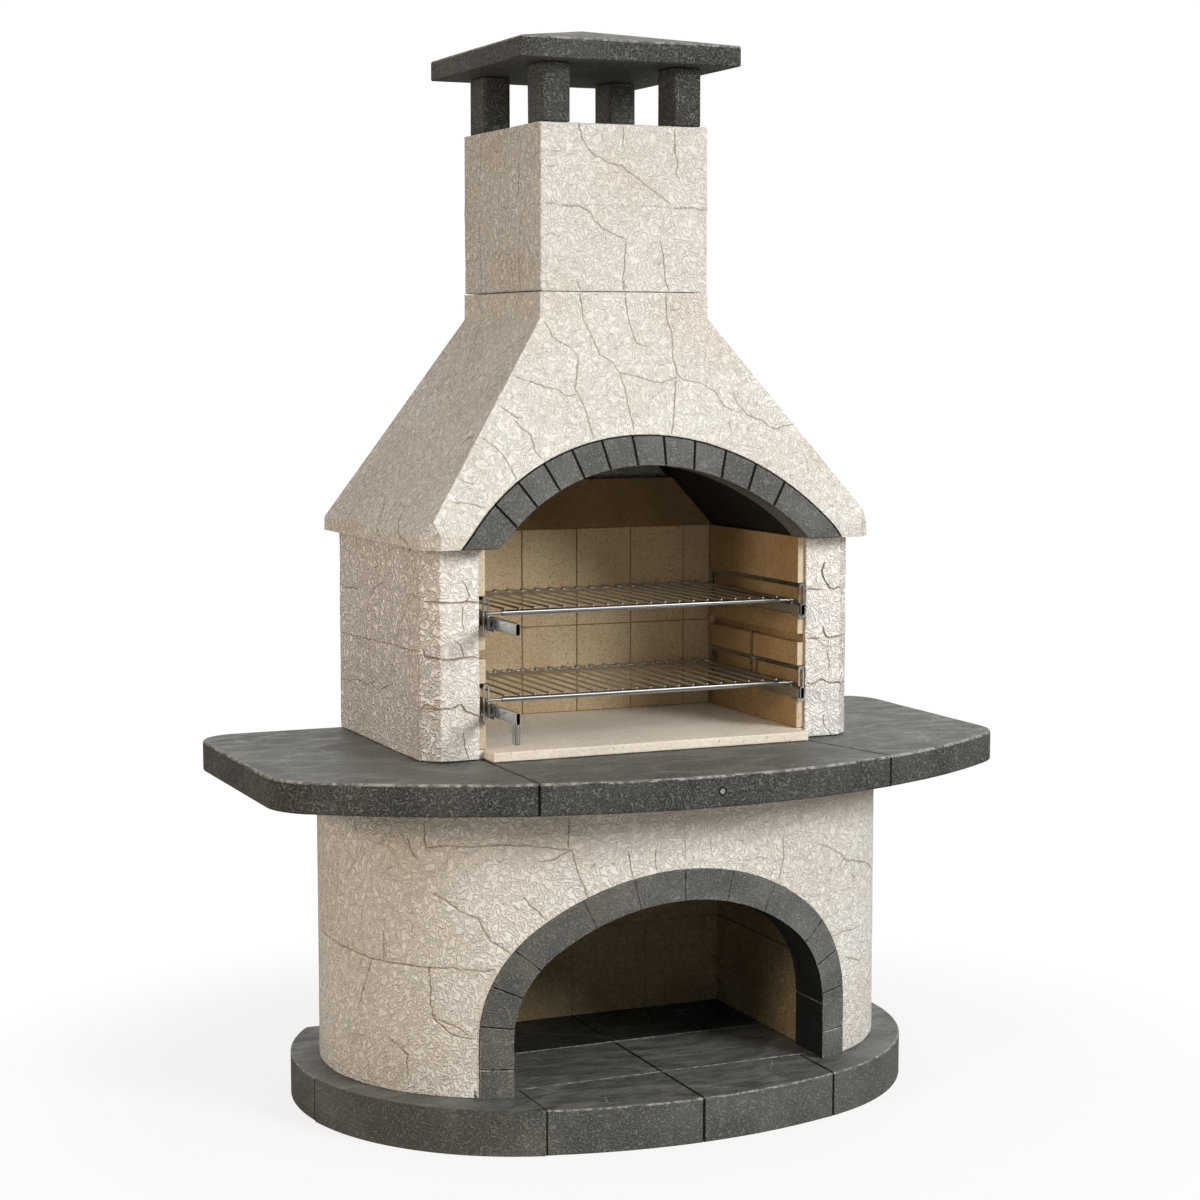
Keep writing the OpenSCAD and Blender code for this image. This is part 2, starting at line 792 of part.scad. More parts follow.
module hood_shell() {
  color(stone) difference() {
    hood_outside();
    hood_cavity();
    front_view(cavity_front_d - front_run, far) hood_arch(joint / 2);
  }
}

// Voussoirs: equal stones with a wider foot stone at each end
module hood_voussoirs() {
  color(slate) for (i = [-1:voussoir_count]) {
    a0 = i < 0 ? -90 : -voussoir_first + i * voussoir_step;
    a1 = i == voussoir_count ? 90 : -voussoir_first + (i + 1) * voussoir_step;
    intersection() {
      hood_outside();
      front_view(cavity_front_d - front_run, far) voussoir(a0, a1);
      difference() {
        block(-far / 2, far / 2, 0, far, hood_z, neck_z);
        hood_cavity();
      }
    }
  }
}

// One ring sector between two angles from upright, with half a joint off each side
module voussoir(a0, a1) {
  ray = 2 * voussoir_r;
  intersection() {
    difference() {
      hood_arch(-joint / 2);
      hood_arch(-voussoir_w);
    }
    translate([0, hood_z - voussoir_drop]) polygon([
      [joint / 2 * cos(a0), -joint / 2 * sin(a0)],
      [joint / 2 * cos(a0) + ray * sin(a0), -joint / 2 * sin(a0) + ray * cos(a0)],
      [ray * sin((a0 + a1) / 2) * 1.2, ray * cos((a0 + a1) / 2) * 1.2],
      [-joint / 2 * cos(a1) + ray * sin(a1), joint / 2 * sin(a1) + ray * cos(a1)],
      [-joint / 2 * cos(a1), joint / 2 * sin(a1)]
    ]);
  }
}

// Smoke guides: plates that lean in from the firebox walls to the flue
module smoke_guide(side) {
  foot = panel_inner + top_brick_over;
  rise = (foot - smoke_gap_half) / smoke_slope;
  level_t = smoke_plate_t * sqrt(1 + smoke_slope * smoke_slope);
  color(soot) on_side(side) intersection() {
    front_view(rear_wall_t, hearth_front_d) polygon([
      [foot + joint, hood_z], [foot + level_t, hood_z], [smoke_gap_half + level_t, hood_z + rise],
      [smoke_gap_half + joint, hood_z + rise]
    ]);
    hood_cavity_inset(run_gap);
  }
}

// The hood's cavity drawn in a little at the front, for plates that stand inside it
module hood_cavity_inset(gap) {
  translate([0, gap, 0]) hood_cavity();
}

// Chimney rings
module chimney_ring(z, h) {
  color(stone) difference() {
    block(-chimney_half_w, chimney_half_w, 0, chimney_depth, z, z + h);
    block(-flue_half_w, flue_half_w, chimney_wall_t, flue_front_d, z - 1, z + h + 1);
  }
}

// Cap posts and roof slab
module cap_post(side, d0) {
  x0 = chimney_half_w - post_inset - post_w;
  x1 = x0 + post_w;
  d1 = d0 + post_d;
  c = post_chamfer;
  color(slate) on_side(side) plan(post_z, post_h) polygon([
    [x0 + c, d0], [x1 - c, d0], [x1, d0 + c], [x1, d1 - c],
    [x1 - c, d1], [x0 + c, d1], [x0, d1 - c], [x0, d0 + c]
  ]);
}

module cap_slab() {
  half = chimney_half_w + cap_over;
  front = chimney_depth + cap_over_front;
  mid_d = (front - cap_over_rear) / 2;
  color(slate) intersection() {
    front_view(-cap_over_rear, front) polygon([
      [-half, cap_z], [half, cap_z], [half, cap_z + cap_t],
      [0, cap_z + cap_t + cap_rise], [-half, cap_z + cap_t]
    ]);
    side_view(-half, half) polygon([
      [-cap_over_rear, cap_z], [front, cap_z], [front, cap_z + cap_t],
      [mid_d, cap_z + cap_t + cap_rise], [-cap_over_rear, cap_z + cap_t]
    ]);
  }
}

// Rest rails: flattened tubes that slide in the carriers' guides and bear the grills
rail_x = panel_inner - guide_side_gap - guide_wall - guide_gap - rail_w / 2;
guide_front_d = wall_depth + run_gap + loop_t + guide_len;
rail_front_in = guide_front_d + rail_nose;

module stadium(w, h) {
  translate([0, (h - w) / 2]) circle(w / 2, $fn = 32);
  translate([0, (w - h) / 2]) circle(w / 2, $fn = 32);
  square([w, h - w], center = true);
}

// z is the floor of the carrier slot and out is how far the rail is drawn
module rest_rail(side, z, out) {
  color(steel) on_side(side) rail_tube(z, out);
}

module rail_tube(z, out) {
  front_d = rail_front_in + out;
  front_view(front_d - rail_len, front_d) translate([rail_x, z + rail_top_rise - rail_h / 2])
    difference() {
      stadium(rail_w, rail_h);
      stadium(rail_w - 2 * rail_wall, rail_h - 2 * rail_wall);
    }
}

// The lower left rail carries a short upright tube as a grip
module gripped_rail(side, z, out) {
  top = z + rail_top_rise - rail_h + rail_w / 2;
  middle_d = rail_front_in + out - grip_d / 2;
  color(steel) on_side(side) {
    rail_tube(z, out);
    difference() {
      plan(top - grip_len, grip_len) translate([rail_x, middle_d]) stadium(rail_w, grip_d);
      plan(top - grip_len - 1, grip_len + 1) translate([rail_x, middle_d])
        stadium(rail_w - 2 * rail_wall, grip_d - 2 * rail_wall);
      front_view(rail_front_in, far) translate([rail_x, z + rail_top_rise - rail_h / 2])
        stadium(rail_w - rail_wall, rail_h - rail_wall);
    }
  }
}

// Carriers: flat steel in each slot, with a loop in front and guides for the rail
loop_x = panel_inner + bar_inset + bar_w / 2;
rear_stop_d = lining_back_d + rear_stop_gap;

module carrier(side, z, strap_to) {
  bar_x = loop_x - bar_w / 2;
  color(steel) on_side(side) {
    block(bar_x, mouth_half_w - run_gap, rear_stop_d, wall_depth + run_gap, z, z + runner_t);
    block(bar_x, bar_x + bar_w, rear_stop_d, wall_depth + run_gap, z + slot_h - top_bar_h, z + slot_h - run_gap);
    block(bar_x, bar_x + bar_w, rear_stop_d, rear_stop_d + bar_w, z, z + slot_h - run_gap);
    hanger_loop(z);
    rail_guide(z, wall_depth + run_gap, guide_front_d);
    rail_guide(z, wall_depth - mid_guide_back - mid_guide_len, wall_depth - mid_guide_back);
    if (strap_to > 0) mid_strap(z, strap_to);
  }
}

// Upright ring with round ends, in front of the panel's edge
module hanger_loop(z) {
  height = slot_h + loop_drop;
  front_view(wall_depth + run_gap, wall_depth + run_gap + loop_t)
    translate([loop_x, z - loop_drop + height / 2]) difference() {
      stadium(loop_w, height);
      stadium(loop_slot_w, height - loop_w + loop_slot_w);
    }
}

// Open-topped guide round the rail, with a tab back to the runner
module rail_guide(z, d0, d1) {
  outer = rail_w / 2 + guide_gap + guide_wall;
  floor_z = z + rail_top_rise - rail_h - run_gap;
  difference() {
    block(rail_x - outer, rail_x + outer, d0, d1, floor_z - guide_wall, z + rail_top_rise - rail_w / 2);
    front_view(d0 - 1, d1 + 1) translate([rail_x, z + rail_top_rise - rail_h / 2])
      stadium(rail_w + 2 * guide_gap, rail_h + 2 * run_gap);
  }
  block(rail_x + outer - guide_wall, loop_x, d0, min(d1, d0 + mid_guide_len), z, z + runner_t);
}

// Strap that hangs the lower carrier from the middle slot
module mid_strap(z, strap_to) {
  d0 = wall_depth - mid_guide_back - mid_guide_len;
  strap_x = panel_inner - run_gap - loop_t;
  block(strap_x, strap_x + loop_t, d0, d0 + 2 * loop_t, z, strap_to + 2 * loop_t);
  block(strap_x, mouth_half_w - run_gap, d0, d0 + 2 * loop_t, strap_to, strap_to + loop_t);
}

// Grill: wires on a front tube and a rear rod, between two side wires that ride on the rails
wire_count = floor((2 * tube_half_l - wire_dia) / wire_pitch) + 1;
wire_first = -(wire_count - 1) * wire_pitch / 2;

module cross_rod(x0, x1, d, z, dia) {
  translate([x0, back_y - d, z]) rotate([0, 90, 0]) cylinder(d = dia, h = x1 - x0, $fn = 32);
}

module long_wire(x, d0, d1, z, dia) {
  translate([x, back_y - d0, z]) rotate([90, 0, 0]) cylinder(d = dia, h = d1 - d0, $fn = 24);
}

module grill(slot_z) {
  z = slot_z + rail_top_rise + run_gap + rod_dia / 2;
  wire_z = z + (tube_dia + wire_dia) / 2 - weld_depth;
  rear_z = wire_z - (rod_dia + wire_dia) / 2 + weld_depth;
  tube_d = wall_depth - tube_back;
  rear_d = tube_d - grill_depth;
  half = rail_x + rod_dia / 2 + rod_over;
  color(steel) {
    difference() {
      cross_rod(-tube_half_l, tube_half_l, tube_d, z, tube_dia);
      for (side = [-1, 1]) cross_rod(side * tube_half_l - rod_dia / 2, side * tube_half_l + rod_dia / 2,
        tube_d, z, tube_dia - 2 * tube_wall);
    }
    cross_rod(-half, half, tube_d, z, rod_dia);
    cross_rod(-half, half, rear_d, rear_z, rod_dia);
    for (side = [-1, 1]) long_wire(side * rail_x, rear_d, tube_d, z, side_wire_dia);
    for (i = [0:wire_count - 1])
      long_wire(wire_first + i * wire_pitch, rear_d - rod_dia / 2, tube_d + rod_dia / 2, wire_z, wire_dia);
  }
}

plinth_front(-1);  // plinth_front_left
plinth_front(1);  // plinth_front_right
plinth_side(-1);  // plinth_side_left
plinth_side(1);  // plinth_side_right
plinth_rear(-1);  // plinth_rear_left
plinth_rear(1);  // plinth_rear_right
bay_tile(-1, plinth_rear_joint_d, plinth_front_joint_d);  // bay_tile_front_left
bay_tile(1, plinth_rear_joint_d, plinth_front_joint_d);  // bay_tile_front_right
bay_tile(-1, 0, plinth_rear_joint_d);  // bay_tile_rear_left
bay_tile(1, 0, plinth_rear_joint_d);  // bay_tile_rear_right
base_wall_front(-1);  // base_wall_front_left
base_wall_front(1);  // base_wall_front_right
base_wall_rear(-1);  // base_wall_rear_left
base_wall_rear(1);  // base_wall_rear_right
arch_leg(-1);  // arch_leg_left
arch_leg(1);  // arch_leg_right
arch_quadrant(-1);  // arch_quadrant_left
arch_quadrant(1);  // arch_quadrant_right
bay_side(-1);  // bay_side_left
bay_side(1);  // bay_side_right
bay_back();
worktop_outer(-1, worktop_splay_left);  // worktop_left
worktop_centre();
worktop_outer(1, worktop_splay_right);  // worktop_right
worktop_screw();
hearth_slab();
firebox_wall(-1);  // firebox_wall_left
firebox_wall(1);  // firebox_wall_right
firebox_rear_wall();
lining_panel(-1);  // lining_panel_left
lining_panel(1);  // lining_panel_right
lining_bricks_lower();
lining_bricks_upper();
lining_top_brick();
hood_shell();
hood_voussoirs();
smoke_guide(-1);  // smoke_guide_left
smoke_guide(1);  // smoke_guide_right
chimney_ring(ring_lower_z, ring_lower_h);  // chimney_ring_lower
chimney_ring(ring_upper_z, ring_upper_h);  // chimney_ring_upper
cap_post(-1, chimney_depth - post_inset - post_d);  // cap_post_front_left
cap_post(1, chimney_depth - post_inset - post_d);  // cap_post_front_right
cap_post(-1, post_inset);  // cap_post_rear_left
cap_post(1, post_inset);  // cap_post_rear_right
cap_slab();
carrier(-1, upper_z, 0);  // carrier_upper_left
carrier(1, upper_z, 0);  // carrier_upper_right
carrier(-1, lower_z, mid_slot_z);  // carrier_lower_left
carrier(1, lower_z, mid_slot_z);  // carrier_lower_right
rest_rail(-1, upper_z, rail_travel);  // rest_rail_upper_left
rest_rail(1, upper_z, 0);  // rest_rail_upper_right
gripped_rail(-1, lower_z, rail_travel);  // rest_rail_lower_left
rest_rail(1, lower_z, 0);  // rest_rail_lower_right
grill(upper_z);  // grill_upper
grill(lower_z);  // grill_lower
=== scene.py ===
# Outdoor masonry barbecue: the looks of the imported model
import json
import math
import bmesh
import bpy
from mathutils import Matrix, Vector, noise
from mathutils.bvhtree import BVHTree


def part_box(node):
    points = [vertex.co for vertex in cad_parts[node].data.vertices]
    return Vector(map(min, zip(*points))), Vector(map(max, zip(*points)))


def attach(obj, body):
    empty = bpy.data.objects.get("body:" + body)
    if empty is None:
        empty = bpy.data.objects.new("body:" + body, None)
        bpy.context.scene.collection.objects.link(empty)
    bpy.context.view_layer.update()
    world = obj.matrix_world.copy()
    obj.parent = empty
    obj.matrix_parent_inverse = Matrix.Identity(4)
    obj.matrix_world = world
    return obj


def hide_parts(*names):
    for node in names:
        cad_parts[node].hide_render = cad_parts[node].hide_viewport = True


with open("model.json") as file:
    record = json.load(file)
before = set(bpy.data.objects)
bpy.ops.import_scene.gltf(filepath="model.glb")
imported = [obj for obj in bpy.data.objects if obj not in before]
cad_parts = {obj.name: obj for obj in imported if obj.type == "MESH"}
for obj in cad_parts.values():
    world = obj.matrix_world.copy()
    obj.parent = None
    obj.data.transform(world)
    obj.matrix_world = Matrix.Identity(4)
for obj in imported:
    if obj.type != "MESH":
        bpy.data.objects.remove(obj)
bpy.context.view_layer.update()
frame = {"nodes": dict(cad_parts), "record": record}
cad = frame["nodes"]
bodyOf = {n: b for b, names in frame["record"]["behaviour"]["bodies"].items() for n in names}
print("frame loaded with", len(cad), "nodes")

# camera: in front, round to the left and at twice the worktop's height
cameraSet = {
    "place": (-2.05555, -4.57024, 1.51061),  # metres
    "yaw": 23.72,  # degrees to the right of straight ahead
    "pitch": 5.76,  # degrees down
    "lens": 75.26,  # mm on a 36 mm sensor
}


def linkObject(name, data, *materials):
    made = bpy.data.objects.new(name, data)
    bpy.context.collection.objects.link(made)
    for material in materials:
        data.materials.append(material)
    return made


def setCamera(values):
    data = bpy.data.cameras.new("camera")
    data.lens = values["lens"]
    camera = linkObject("camera", data)
    camera.location = values["place"]
    camera.rotation_euler = (math.radians(90 - values["pitch"]), 0, -math.radians(values["yaw"]))
    bpy.context.scene.camera = camera


setCamera(cameraSet)
bpy.context.scene.view_settings.view_transform = "Standard"
print("camera set")


# materials
def hexColour(text):
    # an sRGB hex colour as the linear values that a shader takes
    def linear(c):
        return c / 12.92 if c <= 0.04045 else ((c + 0.055) / 1.055) ** 2.4
    return tuple(linear(int(text[i:i + 2], 16) / 255) for i in (1, 3, 5)) + (1.0,)


def addNode(tree, kind, settings=None, **sockets):
    # a node with its settings; a socket takes a number, a colour, an output or a node's first output
    made = tree.nodes.new(kind)
    for name, value in (settings or {}).items():
        setattr(made, name, value)
    for name, value in sockets.items():
        key = int(name[1:]) if name[0] == "i" and name[1:].isdigit() else name.replace("_", " ")
        value = value.outputs[0] if isinstance(value, bpy.types.Node) else value
        if isinstance(value, bpy.types.NodeSocket):
            tree.links.new(value, made.inputs[key])
        else:
            made.inputs[key].default_value = value
    return made


def newMaterial(name):
    material = bpy.data.materials.new(name)
    material.use_nodes = True
    material.node_tree.nodes.clear()
    return material, material.node_tree


def surface(tree, height, strength=1.0, distance=0.001, **inputs):
    # ends a material with its shader; height is the relief, in units of distance
    bump = addNode(tree, "ShaderNodeBump", Height=height, Strength=strength, Distance=distance)
    shader = addNode(tree, "ShaderNodeBsdfPrincipled", Normal=bump, **inputs)
    addNode(tree, "ShaderNodeOutputMaterial", Surface=shader)


def placed(tree, shift=(0, 0, 0), stretch=(1, 1, 1)):
    # object coordinates in metres, moved so that neighbouring castings differ
    here = addNode(tree, "ShaderNodeTexCoord").outputs["Object"]
    return addNode(tree, "ShaderNodeMapping", Vector=here, Location=shift, Scale=stretch)


def grain(tree, vector, size, detail=3.0, rough=0.55, distortion=0.0):
    # noise whose features are about size millimetres across
    return addNode(tree, "ShaderNodeTexNoise", Vector=vector, Scale=1000.0 / size, Detail=detail,
                   Roughness=rough, Distortion=distortion)


def cellEdges(tree, vector, size):
    # the distance to the edges of a pattern of cells of about size millimetres
    return addNode(tree, "ShaderNodeTexVoronoi", {"feature": "DISTANCE_TO_EDGE"}, Vector=vector,
                   Scale=1000.0 / size).outputs["Distance"]


def swirls(tree, vector, size, turns, distortion=0.5):
    # close worm-like ridges, the contour lines of a noise of about size millimetres
    value = grain(tree, vector, size, 1.0, 0.5, distortion)
    wave = sums(tree, "SINE", times(tree, value, turns * 2 * math.pi))
    return between(tree, wave, -1.0, 1.0)


def between(tree, value, low, high, out=(0.0, 1.0)):
    # a soft step: out's two values below low and above high
    return addNode(tree, "ShaderNodeMapRange", {"interpolation_type": "SMOOTHSTEP"}, Value=value,
                   i1=low, i2=high, i3=out[0], i4=out[1])


def blendColour(tree, factor, first, second):
    return addNode(tree, "ShaderNodeMix", {"data_type": "RGBA"}, i0=factor, i6=first, i7=second).outputs[2]


def blendValue(tree, factor, first, second):
    return addNode(tree, "ShaderNodeMix", i0=factor, i2=first, i3=second)


def sums(tree, operation, first, second=0.0):
    return addNode(tree, "ShaderNodeMath", {"operation": operation}, i0=first, i1=second)


def times(tree, first, second):
    return sums(tree, "MULTIPLY", first, second)


def stacked(tree, *parts):
    # heights added up, each value times its weight
    total = None
    for value, weight in parts:
        part = times(tree, value, weight)
        total = part if total is None else sums(tree, "ADD", total, part)
    return total


def layered(tree, colour, *layers):
    # tones laid over a colour one after another, each with its factor
    for factor, tone in layers:
        colour = blendColour(tree, factor, colour, hexColour(tone))
    return colour


def facing(tree, axis):
    # how far the surface faces along an axis
    normal = addNode(tree, "ShaderNodeNewGeometry").outputs["Normal"]
    return addNode(tree, "ShaderNodeSeparateXYZ", Vector=normal).outputs[axis]


def vectors(tree, operation, first, **sockets):
    return addNode(tree, "ShaderNodeVectorMath", {"operation": operation}, i0=first, **sockets)


def warped(tree, vector, size, reach):
    # coordinates pushed about by noise, so that straight lines wander
    wander = addNode(tree, "ShaderNodeTexNoise", Vector=vector, Scale=1000.0 / size, Detail=2.0)
    centred = vectors(tree, "SUBTRACT", wander.outputs["Color"], i1=(0.5, 0.5, 0.5))
    return vectors(tree, "ADD", vector, i1=vectors(tree, "SCALE", centred, Scale=reach / 1000.0))


castStoneLook = {
    "pale": "#e8e8e5",
    "warm": "#dfdbd3",
    "joint": "#b3a48e",
    "speck": "#b3a48f",
    "groove": "#a3927b",
    "clouds": 190.0,  # mm across one faint cloud
    "sand": 3.4,  # mm across one grain
    "lumps": 6.0,
    "pits": 7.0,
    "swell": 45.0,  # mm across one shallow rise of the face
    "worm": 16.0,  # mm across one bend of the worm-like ridges of the cast face
    "wormTurns": 6.0,
    "wormHeight": 1.35,  # mm
    "pavingSize": 170.0,  # mm across one paving stone
    "pavingPatch": 120.0,  # mm across a place where its joints show
    "bends": ((130.0, 46.0), (26.0, 7.0)),  # mm, size and reach of the bends in the joints
    "jointHalf": 2.6,  # mm, half of a faint moulded joint's width
    "jointDepth": 0.9,  # mm
    "sideRelief": 1.0,  # how much higher the ridges stand, and how much deeper the painted shade in their hollows, on faces that look sideways
}


def castStone(name, shift, paving, dark=False, **changes):
    # pale cast concrete, poured against a textured mould: worm-like ridges with painted shade in their
    # hollows, deeper on sideways faces, sandy grain, faint warm clouds and faint crazy paving; dark is the
    # shaded grout in its carved joints
    look = dict(castStoneLook, **changes)
    material, tree = newMaterial(name)
    at = placed(tree, shift)
    clouds = grain(tree, at, look["clouds"], 3.0)
    worms = swirls(tree, at, look["worm"], look["wormTurns"])
    fine = grain(tree, at, look["sand"], 2.0, 0.6)
    lumps = grain(tree, at, look["lumps"], 2.0, 0.6, 0.6)
    bent = at
    for size, reach in look["bends"]:
        bent = warped(tree, bent, size, reach)
    edge = look["jointHalf"] / look["pavingSize"]
    line = between(tree, cellEdges(tree, bent, look["pavingSize"]), 0.0, edge, (1.0, 0.0))
    patch = grain(tree, at, look["pavingPatch"], 1.0)
    shown = between(tree, patch, 0.66 - 0.2 * paving, 0.74 - 0.2 * paving)
    joint = times(tree, line, shown)
    pits = between(tree, grain(tree, at, look["pits"], 1.5), 0.66, 0.73)
    aside = between(tree, sums(tree, "ABSOLUTE", facing(tree, "X")), 0.4, 0.75, (0.0, look["sideRelief"]))

    # painted shade in the hollows between the ridges, deeper on faces that look sideways
    sideShadeGain = sums(tree, "ADD", times(tree, aside, 0.35), 1.0)
    valleyShade = times(tree, between(tree, worms, 0.0, 0.55, (0.34, 0.0)), sideShadeGain)
    colour = layered(tree, hexColour(look["pale"]),
                     (between(tree, clouds, 0.35, 0.7), look["warm"]),
                     (valleyShade, look["speck"]),
                     (between(tree, fine, 0.60, 0.70, (0.0, 0.30)), look["speck"]),
                     (times(tree, pits, 0.40), look["speck"]),
                     (times(tree, joint, 0.35), look["joint"]))
    if dark:
        colour = layered(tree, colour, (0.56, look["groove"]))

    ridges = times(tree, sums(tree, "ADD", aside, 1.0), look["wormHeight"])
    swell = grain(tree, at, look["swell"], 2.0)
    height = stacked(tree, (worms, ridges), (lumps, 1.0), (fine, 0.8), (swell, 2.0),
                     (joint, -look["jointDepth"]), (pits, -1.0))
    surface(tree, height, Base_Color=colour, Roughness=0.88, Specular_IOR_Level=0.2)
    return material


slateLook = {
    "deep": "#2f302e",
    "mid": "#434341",
    # the tops' own tones, lighter than the sides': painted light for the stronger light a top gets
    "topDeep": "#51524f",
    "topMid": "#6d6d6a",
    "fleck": "#949490",
    "speck": "#a6a6a2",
    "vein": "#9b9a95",
    "wornAndHighlit": "#b4b3ae",
    "shade": "#0b0b0a",
    "clouds": 150.0,  # mm across one faint cloud
    "lumps": 4.0,
    "sand": 2.6,
    "worm": 13.5,  # mm across one bend of the moulded edge's ridges
    "wormTurns": 6.0,
    "layer": 40.0,  # mm between the riven layers on a top
    "riven": 210.0,  # mm across one bend of the thin steps between them
    "rivenTurns": 4.0,
    "bend": (200.0, 42.0),  # mm, size and reach of the bends in layers, steps and veins
    "veinCell": 250.0,  # mm from vein to vein
    "veinPatch": 110.0,  # mm across a place where a vein shows
    "rub": 14.0,  # mm across a rubbed place of a worn arris, whose pale tone is partly painted highlight
    "specular": 0.28,
    "rim": 7.8,  # mm, radius of the dark rim of painted shade round a screw
    "rimFade": 9.4,  # mm, where it ends
}


def slateConcrete(name, shift, wornAndHighlit=False, hole=None, **changes):
    # through-coloured anthracite concrete cast on a riven slate mould and sealed: satin, with light
    # flecks, low layers on its tops, whose lighter tone is painted light, and thin pale veins; worn gives the
    # rubbed, paler arris, partly wear and partly painted highlight; hole is the middle of a screw hole with a
    # dark rim of painted shade
    look = dict(slateLook, **changes)
    material, tree = newMaterial(name)
    at = placed(tree, shift)
    clouds = grain(tree, at, look["clouds"], 4.0, 0.6)
    lumps = grain(tree, at, look["lumps"], 2.0, 0.6, 0.8)
    fine = grain(tree, at, look["sand"], 2.0)
    worms = swirls(tree, at, look["worm"], look["wormTurns"])
    bent = warped(tree, placed(tree, shift, (0.6, 1.2, 1.2)), *look["bend"])
    layers = grain(tree, bent, look["layer"], 7.0, 0.70, 0.1)
    steps = swirls(tree, bent, look["riven"], look["rivenTurns"], 0.15)
    vein = between(tree, cellEdges(tree, bent, look["veinCell"]), 0.0, 0.008, (1.0, 0.0))
    vein = times(tree, vein, between(tree, grain(tree, at, look["veinPatch"], 2.0), 0.44, 0.60))
    up = between(tree, facing(tree, "Z"), 0.75, 0.97)

    side = layered(tree, hexColour(look["deep"]),
                   (between(tree, clouds, 0.35, 0.68), look["mid"]),
                   (between(tree, lumps, 0.50, 0.72, (0.0, 0.12)), look["fleck"]),
                   (between(tree, worms, 0.86, 1.0, (0.0, 0.34)), look["fleck"]),
                   (between(tree, fine, 0.62, 0.72, (0.0, 0.5)), look["speck"]))
    top = layered(tree, hexColour(look["topDeep"]),
                  (between(tree, layers, 0.42, 0.58), look["topMid"]),
                  (times(tree, vein, 0.8), look["vein"]),
                  (between(tree, steps, 0.95, 1.0, (0.0, 0.22)), look["vein"]),
                  (between(tree, steps, 0.06, 0.0, (0.0, 0.30)), look["topDeep"]),
                  (between(tree, lumps, 0.56, 0.74, (0.0, 0.22)), look["vein"]))
    # tops take lighter tones than the sides, painted light, over their real riven layers and veins
    colour = blendColour(tree, up, side, top)
    # the pale arris: rubbed wear with a painted highlight
    if wornAndHighlit:
        wearAndHighlight = between(tree, grain(tree, at, look["rub"], 4.0), 0.40, 0.62, (0.2, 0.85))
        colour = layered(tree, colour, (wearAndHighlight, look["wornAndHighlit"]))
    # painted shade in the rim of the screw hole
    if hole:
        here = addNode(tree, "ShaderNodeTexCoord").outputs["Object"]
        away = vectors(tree, "DISTANCE", here, i1=hole).outputs["Value"]
        rim = between(tree, away, look["rimFade"] / 1000, look["rim"] / 1000, (0.0, 0.92))
        colour = layered(tree, colour, (rim, look["shade"]))
    satin = between(tree, layers, 0.4, 0.6, (0.26, 0.56))

    rough = stacked(tree, (worms, 1.3), (lumps, 1.4), (fine, 0.5))
    riven = stacked(tree, (layers, 9.0), (lumps, 0.8), (vein, -0.8), (steps, 1.2))
    surface(tree, blendValue(tree, up, rough, riven), 0.9, Base_Color=colour,
            Roughness=blendValue(tree, up, 0.7, satin), Specular_IOR_Level=look["specular"])
    return material


def screwHead():
    # the middle of the screw's head in the worktop's front edge
    low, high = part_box("worktop_screw")
    return (low.x + high.x) / 2, low.y, (low.z + high.z) / 2


def darkSlate(name, shift, low, high, **changes):
    # one tone for sides and tops alike
    return slateConcrete(name, shift, deep=low, mid=high, topDeep=low, topMid=high, **changes)


firebrickLook = {
    "clay": "#d0b995",
    "pale": "#dccaa8",
    "burnt": "#a18660",
    "speck": "#7c5f3d",
    "clouds": 140.0,  # mm across one faint cloud
    "grit": 5.0,  # mm across one grain of the pressed clay
    "specks": 17.0,  # mm from one dark grain to the next
    "swell": 30.0,
}


def firebrick(name, shift, **changes):
    # pressed and fired fireclay: matt tan with grog grains, some dark, and a sandy bump
    look = dict(firebrickLook, **changes)
    material, tree = newMaterial(name)
    at = placed(tree, shift)
    clouds = grain(tree, at, look["clouds"], 3.0)
    grog = grain(tree, at, look["grit"], 3.0, 0.6, 0.6)
    dots = addNode(tree, "ShaderNodeTexVoronoi", Vector=at, Scale=1000.0 / look["specks"]).outputs["Distance"]
    specks = between(tree, dots, 0.10, 0.17, (1.0, 0.0))
    colour = layered(tree, hexColour(look["clay"]),
                     (between(tree, clouds, 0.3, 0.7), look["pale"]),
                     (between(tree, grog, 0.60, 0.32, (0.0, 0.5)), look["burnt"]),
                     (times(tree, specks, 0.45), look["speck"]))
    sandy, swell = between(tree, grog, 0.3, 0.7), grain(tree, at, look["swell"], 2.0)
    height = stacked(tree, (sandy, 0.7), (swell, 1.2), (specks, -0.5))
    surface(tree, height, 0.9, Base_Color=colour, Roughness=0.9, Specular_IOR_Level=0.2)
    return material


def chromedSteel(name, colour="#b4b6b8", rough=0.13):
    # bright chromed steel wire and strip: mirror-like, dulled a little by handling
    material, tree = newMaterial(name)
    at = placed(tree)
    smear = between(tree, grain(tree, at, 24.0, 3.0), 0.3, 0.7, (rough - 0.05, rough + 0.09))
    surface(tree, grain(tree, at, 9.0, 2.0), 0.25, 0.0002, Base_Color=hexColour(colour), Metallic=1.0,
            Roughness=smear)
    return material


